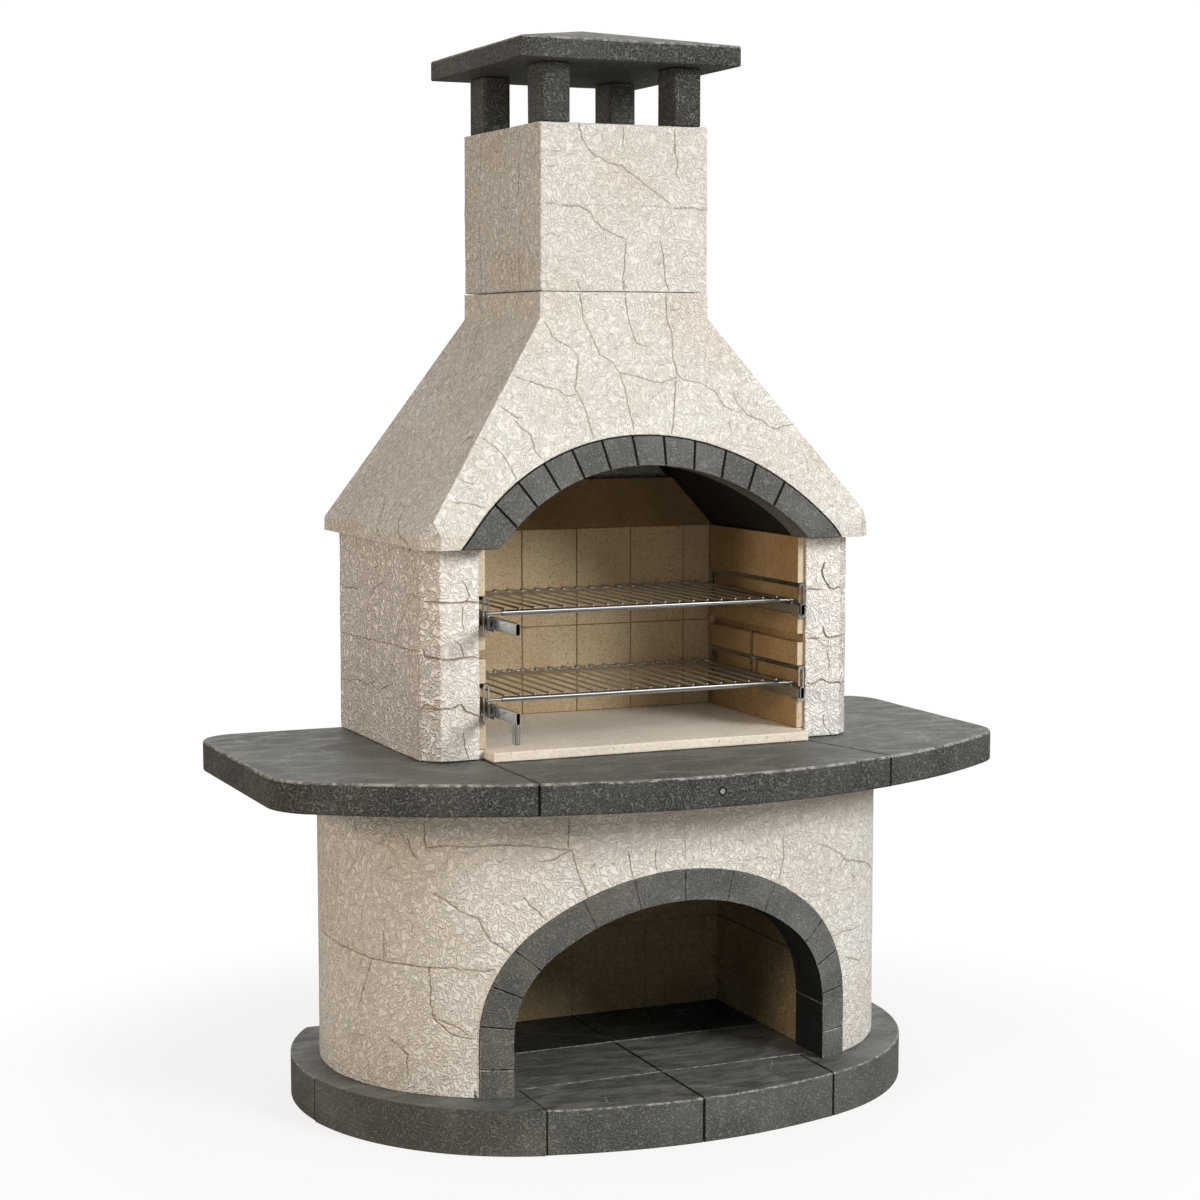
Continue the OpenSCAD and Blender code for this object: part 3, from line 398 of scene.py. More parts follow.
finish = {
    "hood": castStone("castStoneHood", (0.31, 0.12, 0.07), 0.5, sideRelief=0.7, pale="#ecece9",
                      warm="#e3dfd7"),
    "chimney": castStone("castStoneChimney", (2.3, 0.4, 1.1), 0.3),
    # the firebox walls' stone, paler than the other castings: painted light against the shade under the
    # hood's lip
    "wall": castStone("castStoneWallPaintedLight", (1.7, 3.1, 0.3), 0.3, worm=17.0, wormHeight=1.6, sideRelief=1.6,
                      pale="#fdfcfa", warm="#f7f3ed"),
    "base": castStone("castStoneBase", (5.2, 1.3, 2.2), 0.4, worm=17.0, wormHeight=1.8, sideRelief=0.25,
                      pale="#f1f0ec", warm="#e9e5dd"),
    "stoneJoint": castStone("castStoneJoint", (0.2, 0.9, 0.1), 0.0, True),
    # the bay's cream stone, darkened with painted shade for the deep shade inside the bay
    "bay": castStone("shadedBayCastStone", (7.0, 1.0, 3.0), 0.15, pale="#ac9b7b", warm="#988767", joint="#6a583d",
                     speck="#6d5b41"),
    "bayJoint": castStone("shadedBayCastStoneJoint", (7.0, 2.0, 3.0), 0.0, True, pale="#7d6e54", warm="#6f6046",
                          speck="#54462e", groove="#85745a"),
    "worktop": slateConcrete("slateConcreteWorktop", (0.4, 0.2, 0.1), hole=screwHead()),
    "plinth": slateConcrete("slateConcretePlinth", (3.4, 1.2, 0.9), deep="#4a4b48", mid="#60605d",
                            topDeep="#5a5b58", topMid="#6c6c69"),
    # the bay's rear tiles: the slate tone with darker tops, painted shade for the deep bay
    "bayRearPaintedShade": slateConcrete("shadedBaySlateConcrete", (4.1, 0.2, 0.9), topDeep="#252523", topMid="#31312f",
                             vein="#5b5a55"),
    "arch": slateConcrete("slateConcreteArch", (6.1, 0.7, 2.9), deep="#525351", mid="#6d6d6a"),
    "cap": slateConcrete("slateConcreteCap", (8.2, 2.7, 0.4), deep="#313230", mid="#454542"),
    # the pale arris tone on upper arrises and arch edges: wear and painted highlight
    "arrisWearAndHighlight": slateConcrete("slateConcreteWornAndHighlit", (1.4, 0.2, 2.1), True),
    # near-black faces in the gaps between slabs, between voussoirs and in the arch's grooves: painted shade
    "slateJointPaintedShade": darkSlate("shadedJointSlateConcrete", (2.4, 5.2, 0.1), "#121211", "#1a1a19", fleck="#2a2a28",
                            speck="#323230"),
    # the arch's soffit: near-black slate, painted shade
    "soffitPaintedShade": darkSlate("shadedSoffitSlateConcrete", (4.4, 1.2, 0.7), "#191918", "#222221", fleck="#3c3c3a",
                        speck="#454543"),
    # the smoke guides: dark concrete, darkened further with painted shade for the dark inside of the hood
    "smoke": darkSlate("darkConcretePaintedShade", (9.1, 0.2, 0.3), "#151412", "#1f1d1a", fleck="#2b2924",
                       speck="#2f2d28", vein="#24221f"),
    "brick": firebrick("firebrickLining", (0.1, 0.5, 0.9)),
    # lining panels: a darker firebrick as painted shade for their shaded inner faces, and a paler one on
    # their front faces as painted light
    "panel": firebrick("shadedFirebrickPanel", (3.1, 0.8, 0.2), clay="#a98c63", pale="#b69d75", burnt="#806139"),
    "panelEdge": firebrick("litFirebrickPanelFront", (3.1, 2.8, 0.2), clay="#dccbb0", pale="#e6d9c2",
                           burnt="#bda784"),
    # the lining's top brick: firebrick darkened with painted shade, for the shade under the hood
    "topBrickPaintedShade": firebrick("firebrickPaintedShade", (1.1, 2.5, 0.4), clay="#86704f", pale="#937d5b",
                          burnt="#665032"),
    "hearth": firebrick("firebrickHearth", (2.6, 0.3, 1.8), clay="#f1e8d8", pale="#f8f1e4", burnt="#d4c6ad"),
    "chrome": chromedSteel("chromedSteelWire"),
    "plated": chromedSteel("zincPlatedScrew", "#bfc2c4", 0.3),
}
print("materials made")


# shapes
def pieceFrom(shape, name, *materials):
    # a new object of the visual model from a finished bmesh
    mesh = bpy.data.meshes.new(name)
    shape.to_mesh(mesh)
    shape.free()
    return linkObject(name + ".look", mesh, *materials)


def freeze(piece):
    # the modifiers' result as a plain mesh
    graph = bpy.context.evaluated_depsgraph_get()
    mesh = bpy.data.meshes.new_from_object(piece.evaluated_get(graph))
    piece.modifiers.clear()
    old, piece.data = piece.data, mesh
    bpy.data.meshes.remove(old)


def wholeFaces(name):
    # a merged copy of a CAD node's mesh, its flat faces made whole again
    shape = bmesh.new()
    shape.from_mesh(cad[name].data)
    bmesh.ops.remove_doubles(shape, verts=shape.verts, dist=0.00002)
    bmesh.ops.dissolve_limit(shape, angle_limit=math.radians(0.6), verts=shape.verts, edges=shape.edges)
    return shape


def roundEdges(piece, width, edgeSlot=-1, segments=3):
    # rounded arrises, as a mould or a rubbing stone leaves them; width is in mm, or a function that
    # gives it for the middle of an edge
    widthAt = width if callable(width) else lambda middle: width
    shape = bmesh.new()
    shape.from_mesh(piece.data)
    weight = shape.edges.layers.float.new("bevel_weight_edge")
    widest = 20.0
    for edge in shape.edges:
        if edge.is_manifold and edge.calc_face_angle(0.0) > math.radians(28):
            edge[weight] = widthAt((edge.verts[0].co + edge.verts[1].co) * 500) / widest
    shape.to_mesh(piece.data)
    shape.free()
    bevel = piece.modifiers.new("arris", "BEVEL")
    bevel.width = widest / 1000
    bevel.segments = segments
    bevel.limit_method = "WEIGHT"
    bevel.material = edgeSlot
    freeze(piece)


def extent(verts, axis):
    along = [v.co[axis] for v in verts]
    return min(along), max(along)


def weather(piece, step, depth, seed, closed=None):
    # a grid of cuts, then a shallow uneven loss of surface that never grows past the casting; closed
    # says which points, in mm, lie in a closed joint and stay
    shape = bmesh.new()
    shape.from_mesh(piece.data)
    extents = [extent(shape.verts, axis) for axis in range(3)]
    for axis, (low, high) in enumerate(extents):
        way = Vector([1.0 if a == axis else 0.0 for a in range(3)])
        count = int((high - low) / (step / 1000))
        for i in range(1, count):
            at = way * (low + (high - low) * i / count)
            bmesh.ops.bisect_plane(shape, geom=shape.verts[:] + shape.edges[:] + shape.faces[:],
                                   dist=0.0001, plane_co=at, plane_no=way)
    shape.normal_update()
    for v in shape.verts:
        if closed and closed(v.co * 1000):
            continue
        away = Vector((seed * 7.3, seed * 3.1, seed * 1.7))
        slow = noise.noise(v.co * 11.0 + away)
        quick = noise.noise(v.co * 43.0 + away)
        v.co -= v.normal * (depth / 1000) * (0.5 + 0.32 * slow + 0.18 * quick)
    shape.to_mesh(piece.data)
    shape.free()


carveSet = {
    "step": 9.0,  # mm from one point of a joint to the next
    "stray": 3.0,  # mm to each side of the drawn line
    "leap": 0.08,  # metres; a point that lies further from the last one is left out
    "turned": -0.12,  # a face turned further away from the view isn't cut
}


def carve(piece, lines, half, depth, seed=1, slot=1):
    # moulded joints: each line is drawn on a view of the piece, laid on its surface and cut as a V,
    # whose faces take the material of that slot
    shape = bmesh.new()
    shape.from_mesh(piece.data)
    tree = BVHTree.FromBMesh(shape)
    shape.free()
    views = {
        "front": (lambda a, b: Vector((a, -3.0, b)), Vector((0, 1, 0))),
        "left": (lambda a, b: Vector((-3.0, a, b)), Vector((1, 0, 0))),
        "right": (lambda a, b: Vector((3.0, a, b)), Vector((-1, 0, 0))),
    }
    tool = bmesh.new()
    for number, (view, *flat) in enumerate(lines):
        start, way = views[view]
        points = list(zip(flat[::2], flat[1::2]))
        path = []
        for (a0, b0), (a1, b1) in zip(points, points[1:]):
            length = math.hypot(a1 - a0, b1 - b0)
            steps = max(1, round(length / carveSet["step"]))
            for i in range(steps + (points[-1] == (a1, b1))):
                t = i / steps
                push = 0.0
                if 0 < i < steps:
                    at = Vector((number * 3.7 + seed, a0 + t * length * 0.08, b0 * 0.01))
                    push = noise.noise(at) * carveSet["stray"]
                side = (-(b1 - b0) / length, (a1 - a0) / length)
                path.append(((a0 + (a1 - a0) * t + side[0] * push) / 1000,
                             (b0 + (b1 - b0) * t + side[1] * push) / 1000))
        laid = []
        for a, b in path:
            hit, normal, _, _ = tree.ray_cast(start(a, b), way)
            if hit is not None and normal.dot(way) < carveSet["turned"]:
                if not laid or (hit - laid[-1][0]).length < carveSet["leap"]:
                    laid.append((hit, normal))
        if len(laid) < 3:
            continue
        rings = []
        for i, (p, n) in enumerate(laid):
            along = (laid[min(i + 1, len(laid) - 1)][0] - laid[max(i - 1, 0)][0]).normalized()
            side = along.cross(n).normalized()
            ends = 1.0 if 0 < i < len(laid) - 1 else 0.55
            w = half / 1000 * ends * (1.0 + 0.45 * noise.noise(p * 61.0))
            d = depth / 1000 * ends * (1.0 + 0.35 * noise.noise(p * 47.0 + Vector((5, 1, 2))))
            rings.append([tool.verts.new(q) for q in (p + side * w + n * 0.0002, p + n * 0.004,
                                                      p - side * w + n * 0.0002, p - n * d)])
        for one, two in zip(rings, rings[1:]):
            for k in range(4):
                tool.faces.new((one[k], one[(k + 1) % 4], two[(k + 1) % 4], two[k]))
        tool.faces.new(rings[0])
        tool.faces.new(rings[-1])
    bmesh.ops.recalc_face_normals(tool, faces=tool.faces)
    for f in tool.faces:
        f.material_index = slot
    mesh = bpy.data.meshes.new("jointTool")
    tool.to_mesh(mesh)
    tool.free()
    cutter = linkObject("jointTool", mesh, *piece.data.materials)
    cut = piece.modifiers.new("joints", "BOOLEAN")
    cut.operation = "DIFFERENCE"
    cut.solver = "EXACT"
    cut.use_self = True
    cut.object = cutter
    freeze(piece)
    bpy.data.objects.remove(cutter)
    print(len(lines), "joints cut in", piece.name)


def shade(piece, angle=42):
    # smooth shading that keeps the flats flat
    piece.data.polygons.foreach_set("use_smooth", [True] * len(piece.data.polygons))
    piece.data.set_sharp_from_angle(angle=math.radians(angle))
    weights = piece.modifiers.new("shading", "WEIGHTED_NORMAL")
    weights.keep_sharp = True
    freeze(piece)


def named(prefix):
    return [n for n in cad if n.startswith(prefix)]


def standFor(piece, name):
    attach(piece, bodyOf[name])
    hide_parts(name)


def dress(name, materials, edge, edgeSlot=-1, step=None, depth=0.0, lines=(), seed=1, slots=None,
          closed=None):
    # a node's solid with its arrises, wear and joints; slots gives the material number of a bare face
    shape = wholeFaces(name)
    if slots:
        for face in shape.faces:
            face.material_index = slots(face)
    piece = pieceFrom(shape, name, *materials)
    roundEdges(piece, edge, edgeSlot)
    if step:
        weather(piece, step, depth, seed, closed)
    if lines:
        carve(piece, lines, creamSet["jointHalf"], creamSet["jointCut"], seed)
    shade(piece)
    standFor(piece, name)
    return piece


# moulded joints of the cream castings, in mm: X and Z by turns seen from the front, Y and Z from a side
def drawn(view, lines):
    return [(view, *points) for points in lines]


hoodJoints = drawn("front", [
    (-97, 1616, -93, 1591, -90, 1563, -78, 1532, -67, 1495, -45, 1483, -30, 1460),
    (-183, 1567, -170, 1555, -163, 1532, -146, 1520, -126, 1510, -114, 1493),
    (-114, 1493, -121, 1462, -131, 1431, -122, 1410, -116, 1393, -111, 1360, -108, 1331),
    (0, 1617, 4, 1587, 8, 1556, 17, 1518, 40, 1510),
    (89, 1617, 91, 1568, 97, 1540, 91, 1491, 94, 1459, 107, 1445, 132, 1441, 153, 1433, 171, 1423, 186,
     1394, 204, 1384),
    (-30, 1460, 3, 1454, 32, 1444, 57, 1440, 92, 1451),
    (-30, 1460, -24, 1423, -22, 1384, -18, 1341),
    (92, 1451, 81, 1414, 72, 1375, 61, 1340),
    (211, 1423, 217, 1397, 236, 1375, 265, 1365, 280, 1351, 293, 1347, 334, 1356),
    (-255, 1466, -256, 1457, -239, 1449, -217, 1443, -194, 1433, -167, 1429, -152, 1416, -129, 1420),
    (-303, 1401, -295, 1400, -278, 1388, -263, 1377, -249, 1375),
    (-266, 1371, -252, 1354, -237, 1342, -235, 1318, -221, 1289),
    (-342, 1340, -329, 1332, -313, 1321, -298, 1300, -288, 1281, -280, 1259),
    (-394, 1262, -384, 1257, -364, 1253),
    (-415, 1220, -389, 1218, -351, 1208),
]) + drawn("left", [
    (322, 1613, 293, 1556, 256, 1521, 244, 1496),
    (-7, 1532, 24, 1520, 49, 1505, 65, 1493),
    (-82, 1339, -53, 1335, -36, 1321),
    (308, 1180, 310, 1160, 307, 1135),
    (160, 1208, 127, 1175, 110, 1153, 80, 1133),
    (40, 1205, 12, 1174, -28, 1150, -79, 1137),
])
chimneyJoints = drawn("front", [
    (-99, 1945, -93, 1918, -80, 1897, -63, 1882, -42, 1873, -24, 1868, -7, 1865, 14, 1850, 43, 1829, 71,
     1812, 93, 1797, 106, 1785),
    (106, 1785, 141, 1786, 179, 1783),
    (108, 1940, 108, 1899, 115, 1878, 110, 1852, 119, 1841),
    (-181, 1863, -161, 1860, -144, 1863),
    (-182, 1789, -148, 1789, -127, 1784, -101, 1785, -76, 1774, -67, 1758, -48, 1741, -22, 1730, 2, 1722),
    (2, 1722, -1, 1677, -5, 1642, -3, 1621),
    (76, 1720, 85, 1683, 87, 1651, 96, 1621),
    (-3, 1942, -7, 1896),
    (-104, 1643, -95, 1622),
]) + drawn("left", [
    (300, 1933, 307, 1883, 319, 1828),
    (343, 1789, 314, 1755, 309, 1693, 304, 1623),
    (97, 1898, 98, 1824, 108, 1797),
    (61, 1789, 88, 1753, 99, 1702, 99, 1663, 89, 1627),
])
baseJoints = drawn("left", [
    (139, 356, 47, 350, -4, 346, -48, 340, -85, 339),
]) + drawn("front", [
    (-537, 339, -516, 338, -487, 337, -457, 338, -438, 341, -425, 336, -391, 335, -353, 337),
    (-473, 336, -472, 304, -472, 265, -466, 238, -451, 224, -438, 210, -419, 205, -389, 202),
    (-466, 238, -448, 232, -428, 224, -412, 209),
    (-471, 484, -448, 470, -431, 456, -414, 445, -393, 436, -383, 411, -371, 391, -349, 378, -332, 362),
    (-315, 477, -303, 461, -288, 449, -268, 426),
    (-225, 564, -220, 541, -208, 506, -195, 471),
    (-479, 617, -478, 564),
    (-504, 590, -497, 558, -489, 543),
]) + drawn("left", [
    (-11, 603, -22, 581),
    (-58, 340, -37, 283, -20, 236),
    (-84, 399, -83, 341),
]) + drawn("front", [
    (-533, 191, -517, 176, -505, 162, -507, 117),
    (-288, 545, -255, 548, -225, 564),
    (-478, 568, -447, 574, -407, 573, -356, 577, -302, 575, -225, 564),
    (-231, 626, -231, 569),
    (-61, 555, -61, 526, -55, 505),
    (-117, 555, -111, 524, -103, 496),
    (225, 558, 228, 517, 216, 469),
    (309, 531, 351, 515, 381, 500, 400, 482, 443, 471, 490, 455, 511, 437),
    (414, 455, 436, 434),
    (463, 332, 399, 337, 359, 334),
    (403, 282, 456, 261),
    (486, 214, 505, 196),
])
leftCourses = [
    ("front", -456, 1030, -429, 1028, -402, 1027, -372, 1028, -346, 1025),
    ("front", -346, 921, -373, 921, -403, 918, -429, 920, -456, 924),
    ("left", -119, 919, -110, 923, -97, 927, -93, 941),
    ("front", -391, 833, -404, 826, -430, 824, -456, 824),
    ("left", -119, 823, -107, 830, -97, 831, -92, 820),
    ("front", -391, 833, -381, 817, -363, 810, -346, 806),
]
leftCracks = drawn("left", [
    (-85, 1127, -84, 1079, -83, 1039, -43, 1041, -25, 1026, -7, 999, 17, 979, 35, 952, 60, 930),
    (60, 930, 54, 907, 73, 883, 91, 863),
    (390, 921, 330, 921, 265, 924, 188, 926, 60, 930),
    (60, 930, 18, 930, -40, 931, -93, 935),
    (285, 1120, 286, 1079, 280, 1051, 261, 1041, 281, 1022, 380, 1016),
    (170, 1120, 165, 1089, 147, 1078, 184, 1071),
    (199, 1010, 167, 1037, 129, 1046, 93, 1035, 87, 1020),
    (271, 921, 292, 894, 286, 864, 306, 851),
    (394, 822, 333, 825, 287, 835, 255, 833, 210, 832, 166, 850),
    (166, 846, 141, 831, 80, 850),
    (-86, 925, -85, 859, -78, 800, -82, 739),
]) + drawn("front", [
    (-390, 1071, -378, 1055, -372, 1039, -384, 1026),
    (-403, 955, -389, 944, -383, 921),
    (-386, 1021, -388, 990, -383, 971),
    (-386, 777, -382, 744, -374, 724),
])
rightCourses = drawn("front", [
    (435, 1025, 407, 1024, 393, 1045, 388, 1060, 395, 1078),
    (346, 1024, 389, 1023),
    (346, 923, 385, 923),
    (462, 927, 432, 925, 404, 923, 394, 937, 392, 948),
    (346, 831, 375, 832, 391, 839, 405, 832, 434, 828, 462, 826),
])
rightCracks = drawn("front", [
    (394, 767, 396, 747, 408, 732, 415, 723),
    (404, 896, 407, 857),
])


def onBothSides(lines):
    # the left side's joints once more on the right side, which has the same mould turned over
    return lines + [("right", *points) for view, *points in lines if view == "left"]


# cream castings
creamSet = {
    "step": 26.0,  # mm between the points where a face may be uneven
    "loss": 2.2,  # mm of surface lost at most
    "lipEdge": 13.0,
    "edge": 7.0,
    "baseEdge": 3.0,
    "bayEdge": 1.5,
    "meeting": 1.2,  # mm, where two castings meet in a closed joint
    "archEdge": 2.0,
    "jointHalf": 1.8,  # mm, half of a moulded joint's width
    "jointCut": 2.2,  # mm
    "lipTop": 1166.0,  # mm above the floor
    "archMiddle": 840.0,  # mm above the floor, where the hood's arch is drawn from
    "archRadius": 500.0,  # mm, outside its dark stones
    "archInside": 443.5,  # mm, inside them
    "ringJoint": 1787.0,  # mm above the floor, where the chimney rings meet
}


def hoodEdge(middle):
    # a thick round lip, soft arrises and a crisp edge round the arch
    x, y, z = middle
    if z < creamSet["lipTop"] and (abs(x) > 440 or y < -160):
        return creamSet["lipEdge"]
    if y < -20 and abs(math.hypot(x, z - creamSet["archMiddle"]) - creamSet["archRadius"]) < 8:
        return creamSet["archEdge"]
    return creamSet["edge"]


def ringEdge(middle):
    # the joint between the two rings is nearly closed, the others show
    return creamSet["meeting"] if abs(middle.z - creamSet["ringJoint"]) < 3 else creamSet["edge"] * 0.8


def baseEdge(middle):
    # the front castings meet closely over the arch's crown
    return creamSet["meeting"] if abs(middle.x) < 2 else creamSet["baseEdge"]


def solidsTree(names):
    # the solids of these nodes, to find what lies close to them
    shape = bmesh.new()
    for name in names:
        shape.from_mesh(cad[name].data)
    tree = BVHTree.FromBMesh(shape)
    shape.free()
    return tree


def bayGroove(face):
    # the narrow faces of the block joints moulded in the bay's walls
    spans = [high - low for low, high in (extent(face.verts, axis) for axis in range(3))]
    return int(sorted(spans)[1] < 0.006)


def stone(key):
    return finish[key], finish["stoneJoint"]


step, loss = creamSet["step"], creamSet["loss"]
dress("hood_shell", stone("hood"), hoodEdge, -1, step, loss, onBothSides(hoodJoints), 2)
for name, number in (("chimney_ring_lower", 3), ("chimney_ring_upper", 4)):
    dress(name, stone("chimney"), ringEdge, -1, step, loss, onBothSides(chimneyJoints), number,
          closed=lambda p: abs(p.z - creamSet["ringJoint"]) < 1.5)
archTree = solidsTree(named("arch_"))
# the bay's castings take the stone darkened with painted shade
bay = (finish["bay"], finish["bayJoint"])
for side, number in (("left", 5), ("right", 6)):
    dress("base_wall_front_" + side, stone("base"), baseEdge, -1, step, loss * 0.7, baseJoints, number,
          closed=lambda p: abs(p.x) < 2 or archTree.find_nearest(p / 1000)[3] < 0.004)
    dress("base_wall_rear_" + side, stone("base"), creamSet["baseEdge"], -1, step, loss * 0.7,
          onBothSides(baseJoints), number)
    dress("bay_side_" + side, bay, creamSet["bayEdge"], slots=bayGroove)
dress("bay_back", bay, creamSet["bayEdge"], slots=bayGroove)
dress("firebox_rear_wall", stone("wall"), creamSet["edge"], -1, step, loss, seed=7)
print("cream castings dressed")

# firebox walls: one casting a side, moulded as four courses of rounded blocks
wallSet = {
    "chamfer": 33.0,  # mm off each front corner
    "edge": 8.0,
    "hiddenEdge": 2.0,
    "step": 22.0,
    "loss": 3.0,
    "courseHalf": 2.3,  # mm, half of a course joint's width
    "courseDepth": 3.2,
    "crackHalf": 1.4,
    "crackDepth": 1.4,
}


def blockWall(name, side, values, courses, cracks):
    low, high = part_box(name)
    inner, outer = sorted((abs(low.x), abs(high.x)))
    panelLow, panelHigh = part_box("lining_panel_" + side)
    panel = max(abs(panelLow.x), abs(panelHigh.x))
    sign = -1 if side == "left" else 1
    chamfer = values["chamfer"] / 1000
    outline = [(inner, low.y), (outer - chamfer, low.y), (outer, low.y + chamfer), (outer, high.y),
               (panel, high.y), (panel, panelLow.y), (inner, panelLow.y)]
    shape = bmesh.new()
    foot = [shape.verts.new((sign * x, y, low.z)) for x, y in outline]
    head = [shape.verts.new((sign * x, y, high.z)) for x, y in outline]
    shape.faces.new(foot)
    shape.faces.new(head)
    for i in range(len(outline)):
        j = (i + 1) % len(outline)
        shape.faces.new((foot[i], foot[j], head[j], head[i]))
    bmesh.ops.recalc_face_normals(shape, faces=shape.faces)
    piece = pieceFrom(shape, name, *stone("wall"))

    def edge(middle):
        # thick rounded arrises in front and up the rear corner, small ones where the lining covers them
        rear = abs(middle.x) > outer * 1000 - 5 and middle.y > high.y * 1000 - 5
        return values["edge"] if middle.y < 0 or rear else values["hiddenEdge"]

    roundEdges(piece, edge)
    weather(piece, values["step"], values["loss"], 8 if side == "left" else 9)
    carve(piece, courses, values["courseHalf"], values["courseDepth"], 4)
    carve(piece, cracks, values["crackHalf"], values["crackDepth"], 5)
    shade(piece)
    standFor(piece, name)


blockWall("firebox_wall_left", "left", wallSet, leftCourses, leftCracks)
blockWall("firebox_wall_right", "right", wallSet, rightCourses, rightCracks + onBothSides(leftCracks)[-11:])
print("firebox walls built")

# slate-look castings
slateSet = {
    "worktopEdge": 5.0,  # mm
    "plinthEdge": 3.4,
    "tileEdge": 2.6,
    "archEdge": 1.6,
    "voussoirEdge": 2.3,
    "voussoirStep": 18.0,  # mm between the points where a face may be uneven
    "voussoirLoss": 2.0,  # mm
    "capEdge": 4.0,
    "postLoss": 1.0,
    "guideEdge": 2.0,
    "jointEdge": 2.6,  # mm, arrises along a joint between two slabs
    "jointReach": 3.6,  # mm from the next slab where a face belongs to the joint
    "screwReach": 12.0,  # mm round the screw's axis
    "step": 30.0,
    "loss": 0.8,
    "archMiddle": 200.0,  # mm above the floor, where the arch springs
    "grooveWidth": 4.6,
}


def archSlots(face):
    # 1 for the moulded grooves across the arch stones, in the near-black tone of painted shade, 2 for the
    # soffit, darkened with painted shade
    c, n = face.calc_center_median() * 1000, face.normal
    out = Vector((c.x, 0, c.z - slateSet["archMiddle"])).normalized()
    if abs(n.y) < 0.3 and n.dot(out) < -0.3:
        return 2
    across = Vector((out.z, 0, -out.x))
    reach = [v.co.dot(across) * 1000 for v in face.verts]
    front, back = extent(face.verts, 1)
    narrow = max(reach) - min(reach) < 2.2 * slateSet["grooveWidth"] and back - front < 0.012
    return int(narrow and face.calc_area() < 0.0007)


def slab(name, body, edge, family, seed):
    # a slab whose upper arrises are rubbed pale, partly wear and partly painted highlight, with narrow joints
    # to the others of its family painted dark as shade; the far side of a joint that runs across gets a
    # painted highlight where it catches the light
    others = solidsTree([n for n in family if n != name]) if len(family) > 1 else None

    def jointed(point):
        return others is not None and others.find_nearest(point, slateSet["jointReach"] / 1000)[0] is not None

    head = screwHead()

    def width(middle):
        # the small screw hole stays sharp, or it would hold back every other arris
        if math.hypot(middle.x - head[0] * 1000, middle.z - head[2] * 1000) < slateSet["screwReach"]:
            return 0.0
        return min(edge, slateSet["jointEdge"]) if jointed(middle / 1000) else edge

    piece = dress(name, (body, finish["arrisWearAndHighlight"], finish["slateJointPaintedShade"]), width, 1, slateSet["step"],
                  slateSet["loss"], seed=seed, closed=lambda p: jointed(p / 1000))
    # joint faces: the far, upturned side takes the pale tone as a painted highlight, the rest the near-black
    # tone as painted shade; lower arrises lose the pale tone, so it stays on the upper ones
    for face in piece.data.polygons:
        if face.normal.z < 0.99 and jointed(face.center):
            face.material_index = 1 if face.normal.y < -0.2 and face.normal.z > 0.25 else 2
        elif face.material_index == 1 and face.normal.z < 0.25:
            face.material_index = 0


tops = ["worktop_left", "worktop_centre", "worktop_right"]
paving = named(("plinth", "bay_tile"))
for name in tops:
    slab(name, finish["worktop"], slateSet["worktopEdge"], tops, 11)
for name in paving:
    # the rear tiles of the bay take the tone darkened with painted shade
    slab(name, finish["bayRearPaintedShade" if "tile_rear" in name else "plinth"],
         slateSet["tileEdge" if "tile" in name else "plinthEdge"], paving, 12)
for name in named("arch_"):
    # arch stones: pale arrises of wear with a painted highlight, grooves in painted shade and a soffit
    # darkened with painted shade
    dress(name, (finish["arch"], finish["slateJointPaintedShade"], finish["soffitPaintedShade"], finish["arrisWearAndHighlight"]),
          slateSet["archEdge"], 3, slots=archSlots)
# the voussoirs' joint bevels take the near-black tone: painted shade in the gaps
ring = dress("hood_voussoirs", (finish["arch"], finish["slateJointPaintedShade"]), slateSet["voussoirEdge"], 1,
             slateSet["voussoirStep"], slateSet["voussoirLoss"], seed=13)
for face in ring.data.polygons:
    x, z = face.center.x * 1000, face.center.z * 1000
    if math.hypot(x, z - creamSet["archMiddle"]) < creamSet["archInside"]:
        face.material_index = 0
slab("cap_slab", finish["cap"], slateSet["capEdge"], ["cap_slab"], 14)
for name in named("cap_post"):
    dress(name, (finish["cap"],), slateSet["capEdge"], -1, slateSet["step"], slateSet["postLoss"], seed=14)
for side in ("left", "right"):
    # the smoke guides take the concrete darkened with painted shade
    dress("smoke_guide_" + side, (finish["smoke"],), slateSet["guideEdge"])
print("slate castings dressed")

# firebrick lining
brickSet = {
    "edge": 1.8,  # mm
    "panelEdge": 2.2,
    "hearthEdge": 3.5,
    "step": 30.0,
    "loss": 0.6,
    "hearthLoss": 1.0,
}
step, loss = brickSet["step"], brickSet["loss"]
for name in ("lining_bricks_lower", "lining_bricks_upper"):
    dress(name, (finish["brick"],), brickSet["edge"], -1, step, loss, seed=15)
# the top brick takes the firebrick darkened with painted shade
dress("lining_top_brick", (finish["topBrickPaintedShade"],), brickSet["edge"], -1, step, loss, seed=18)
for side in ("left", "right"):
    # front faces take the paler tone of painted light; the rest the darker tone of painted shade
    dress("lining_panel_" + side, (finish["panel"], finish["panelEdge"]), brickSet["panelEdge"], -1, step,
          loss, seed=16, slots=lambda face: int(face.normal.y < -0.9))
dress("hearth_slab", (finish["hearth"],), brickSet["hearthEdge"], -1, step, brickSet["hearthLoss"], seed=17)
print("lining dressed")

# grills: wires laid on a front tube and a rear rod, between two side wires
grillSet = {
    "wireCount": 20,
    "wirePitch": 31.0,
    "wireDiameter": 5.0,
    "rodDiameter": 6.0,
    "sideDiameter": 5.5,
    "tubeDiameter": 11.0,
    "tubeWall": 1.5,
    "tubeHalf": 300.0,
    "railX": 327.55,
    "weld": 0.6,
}


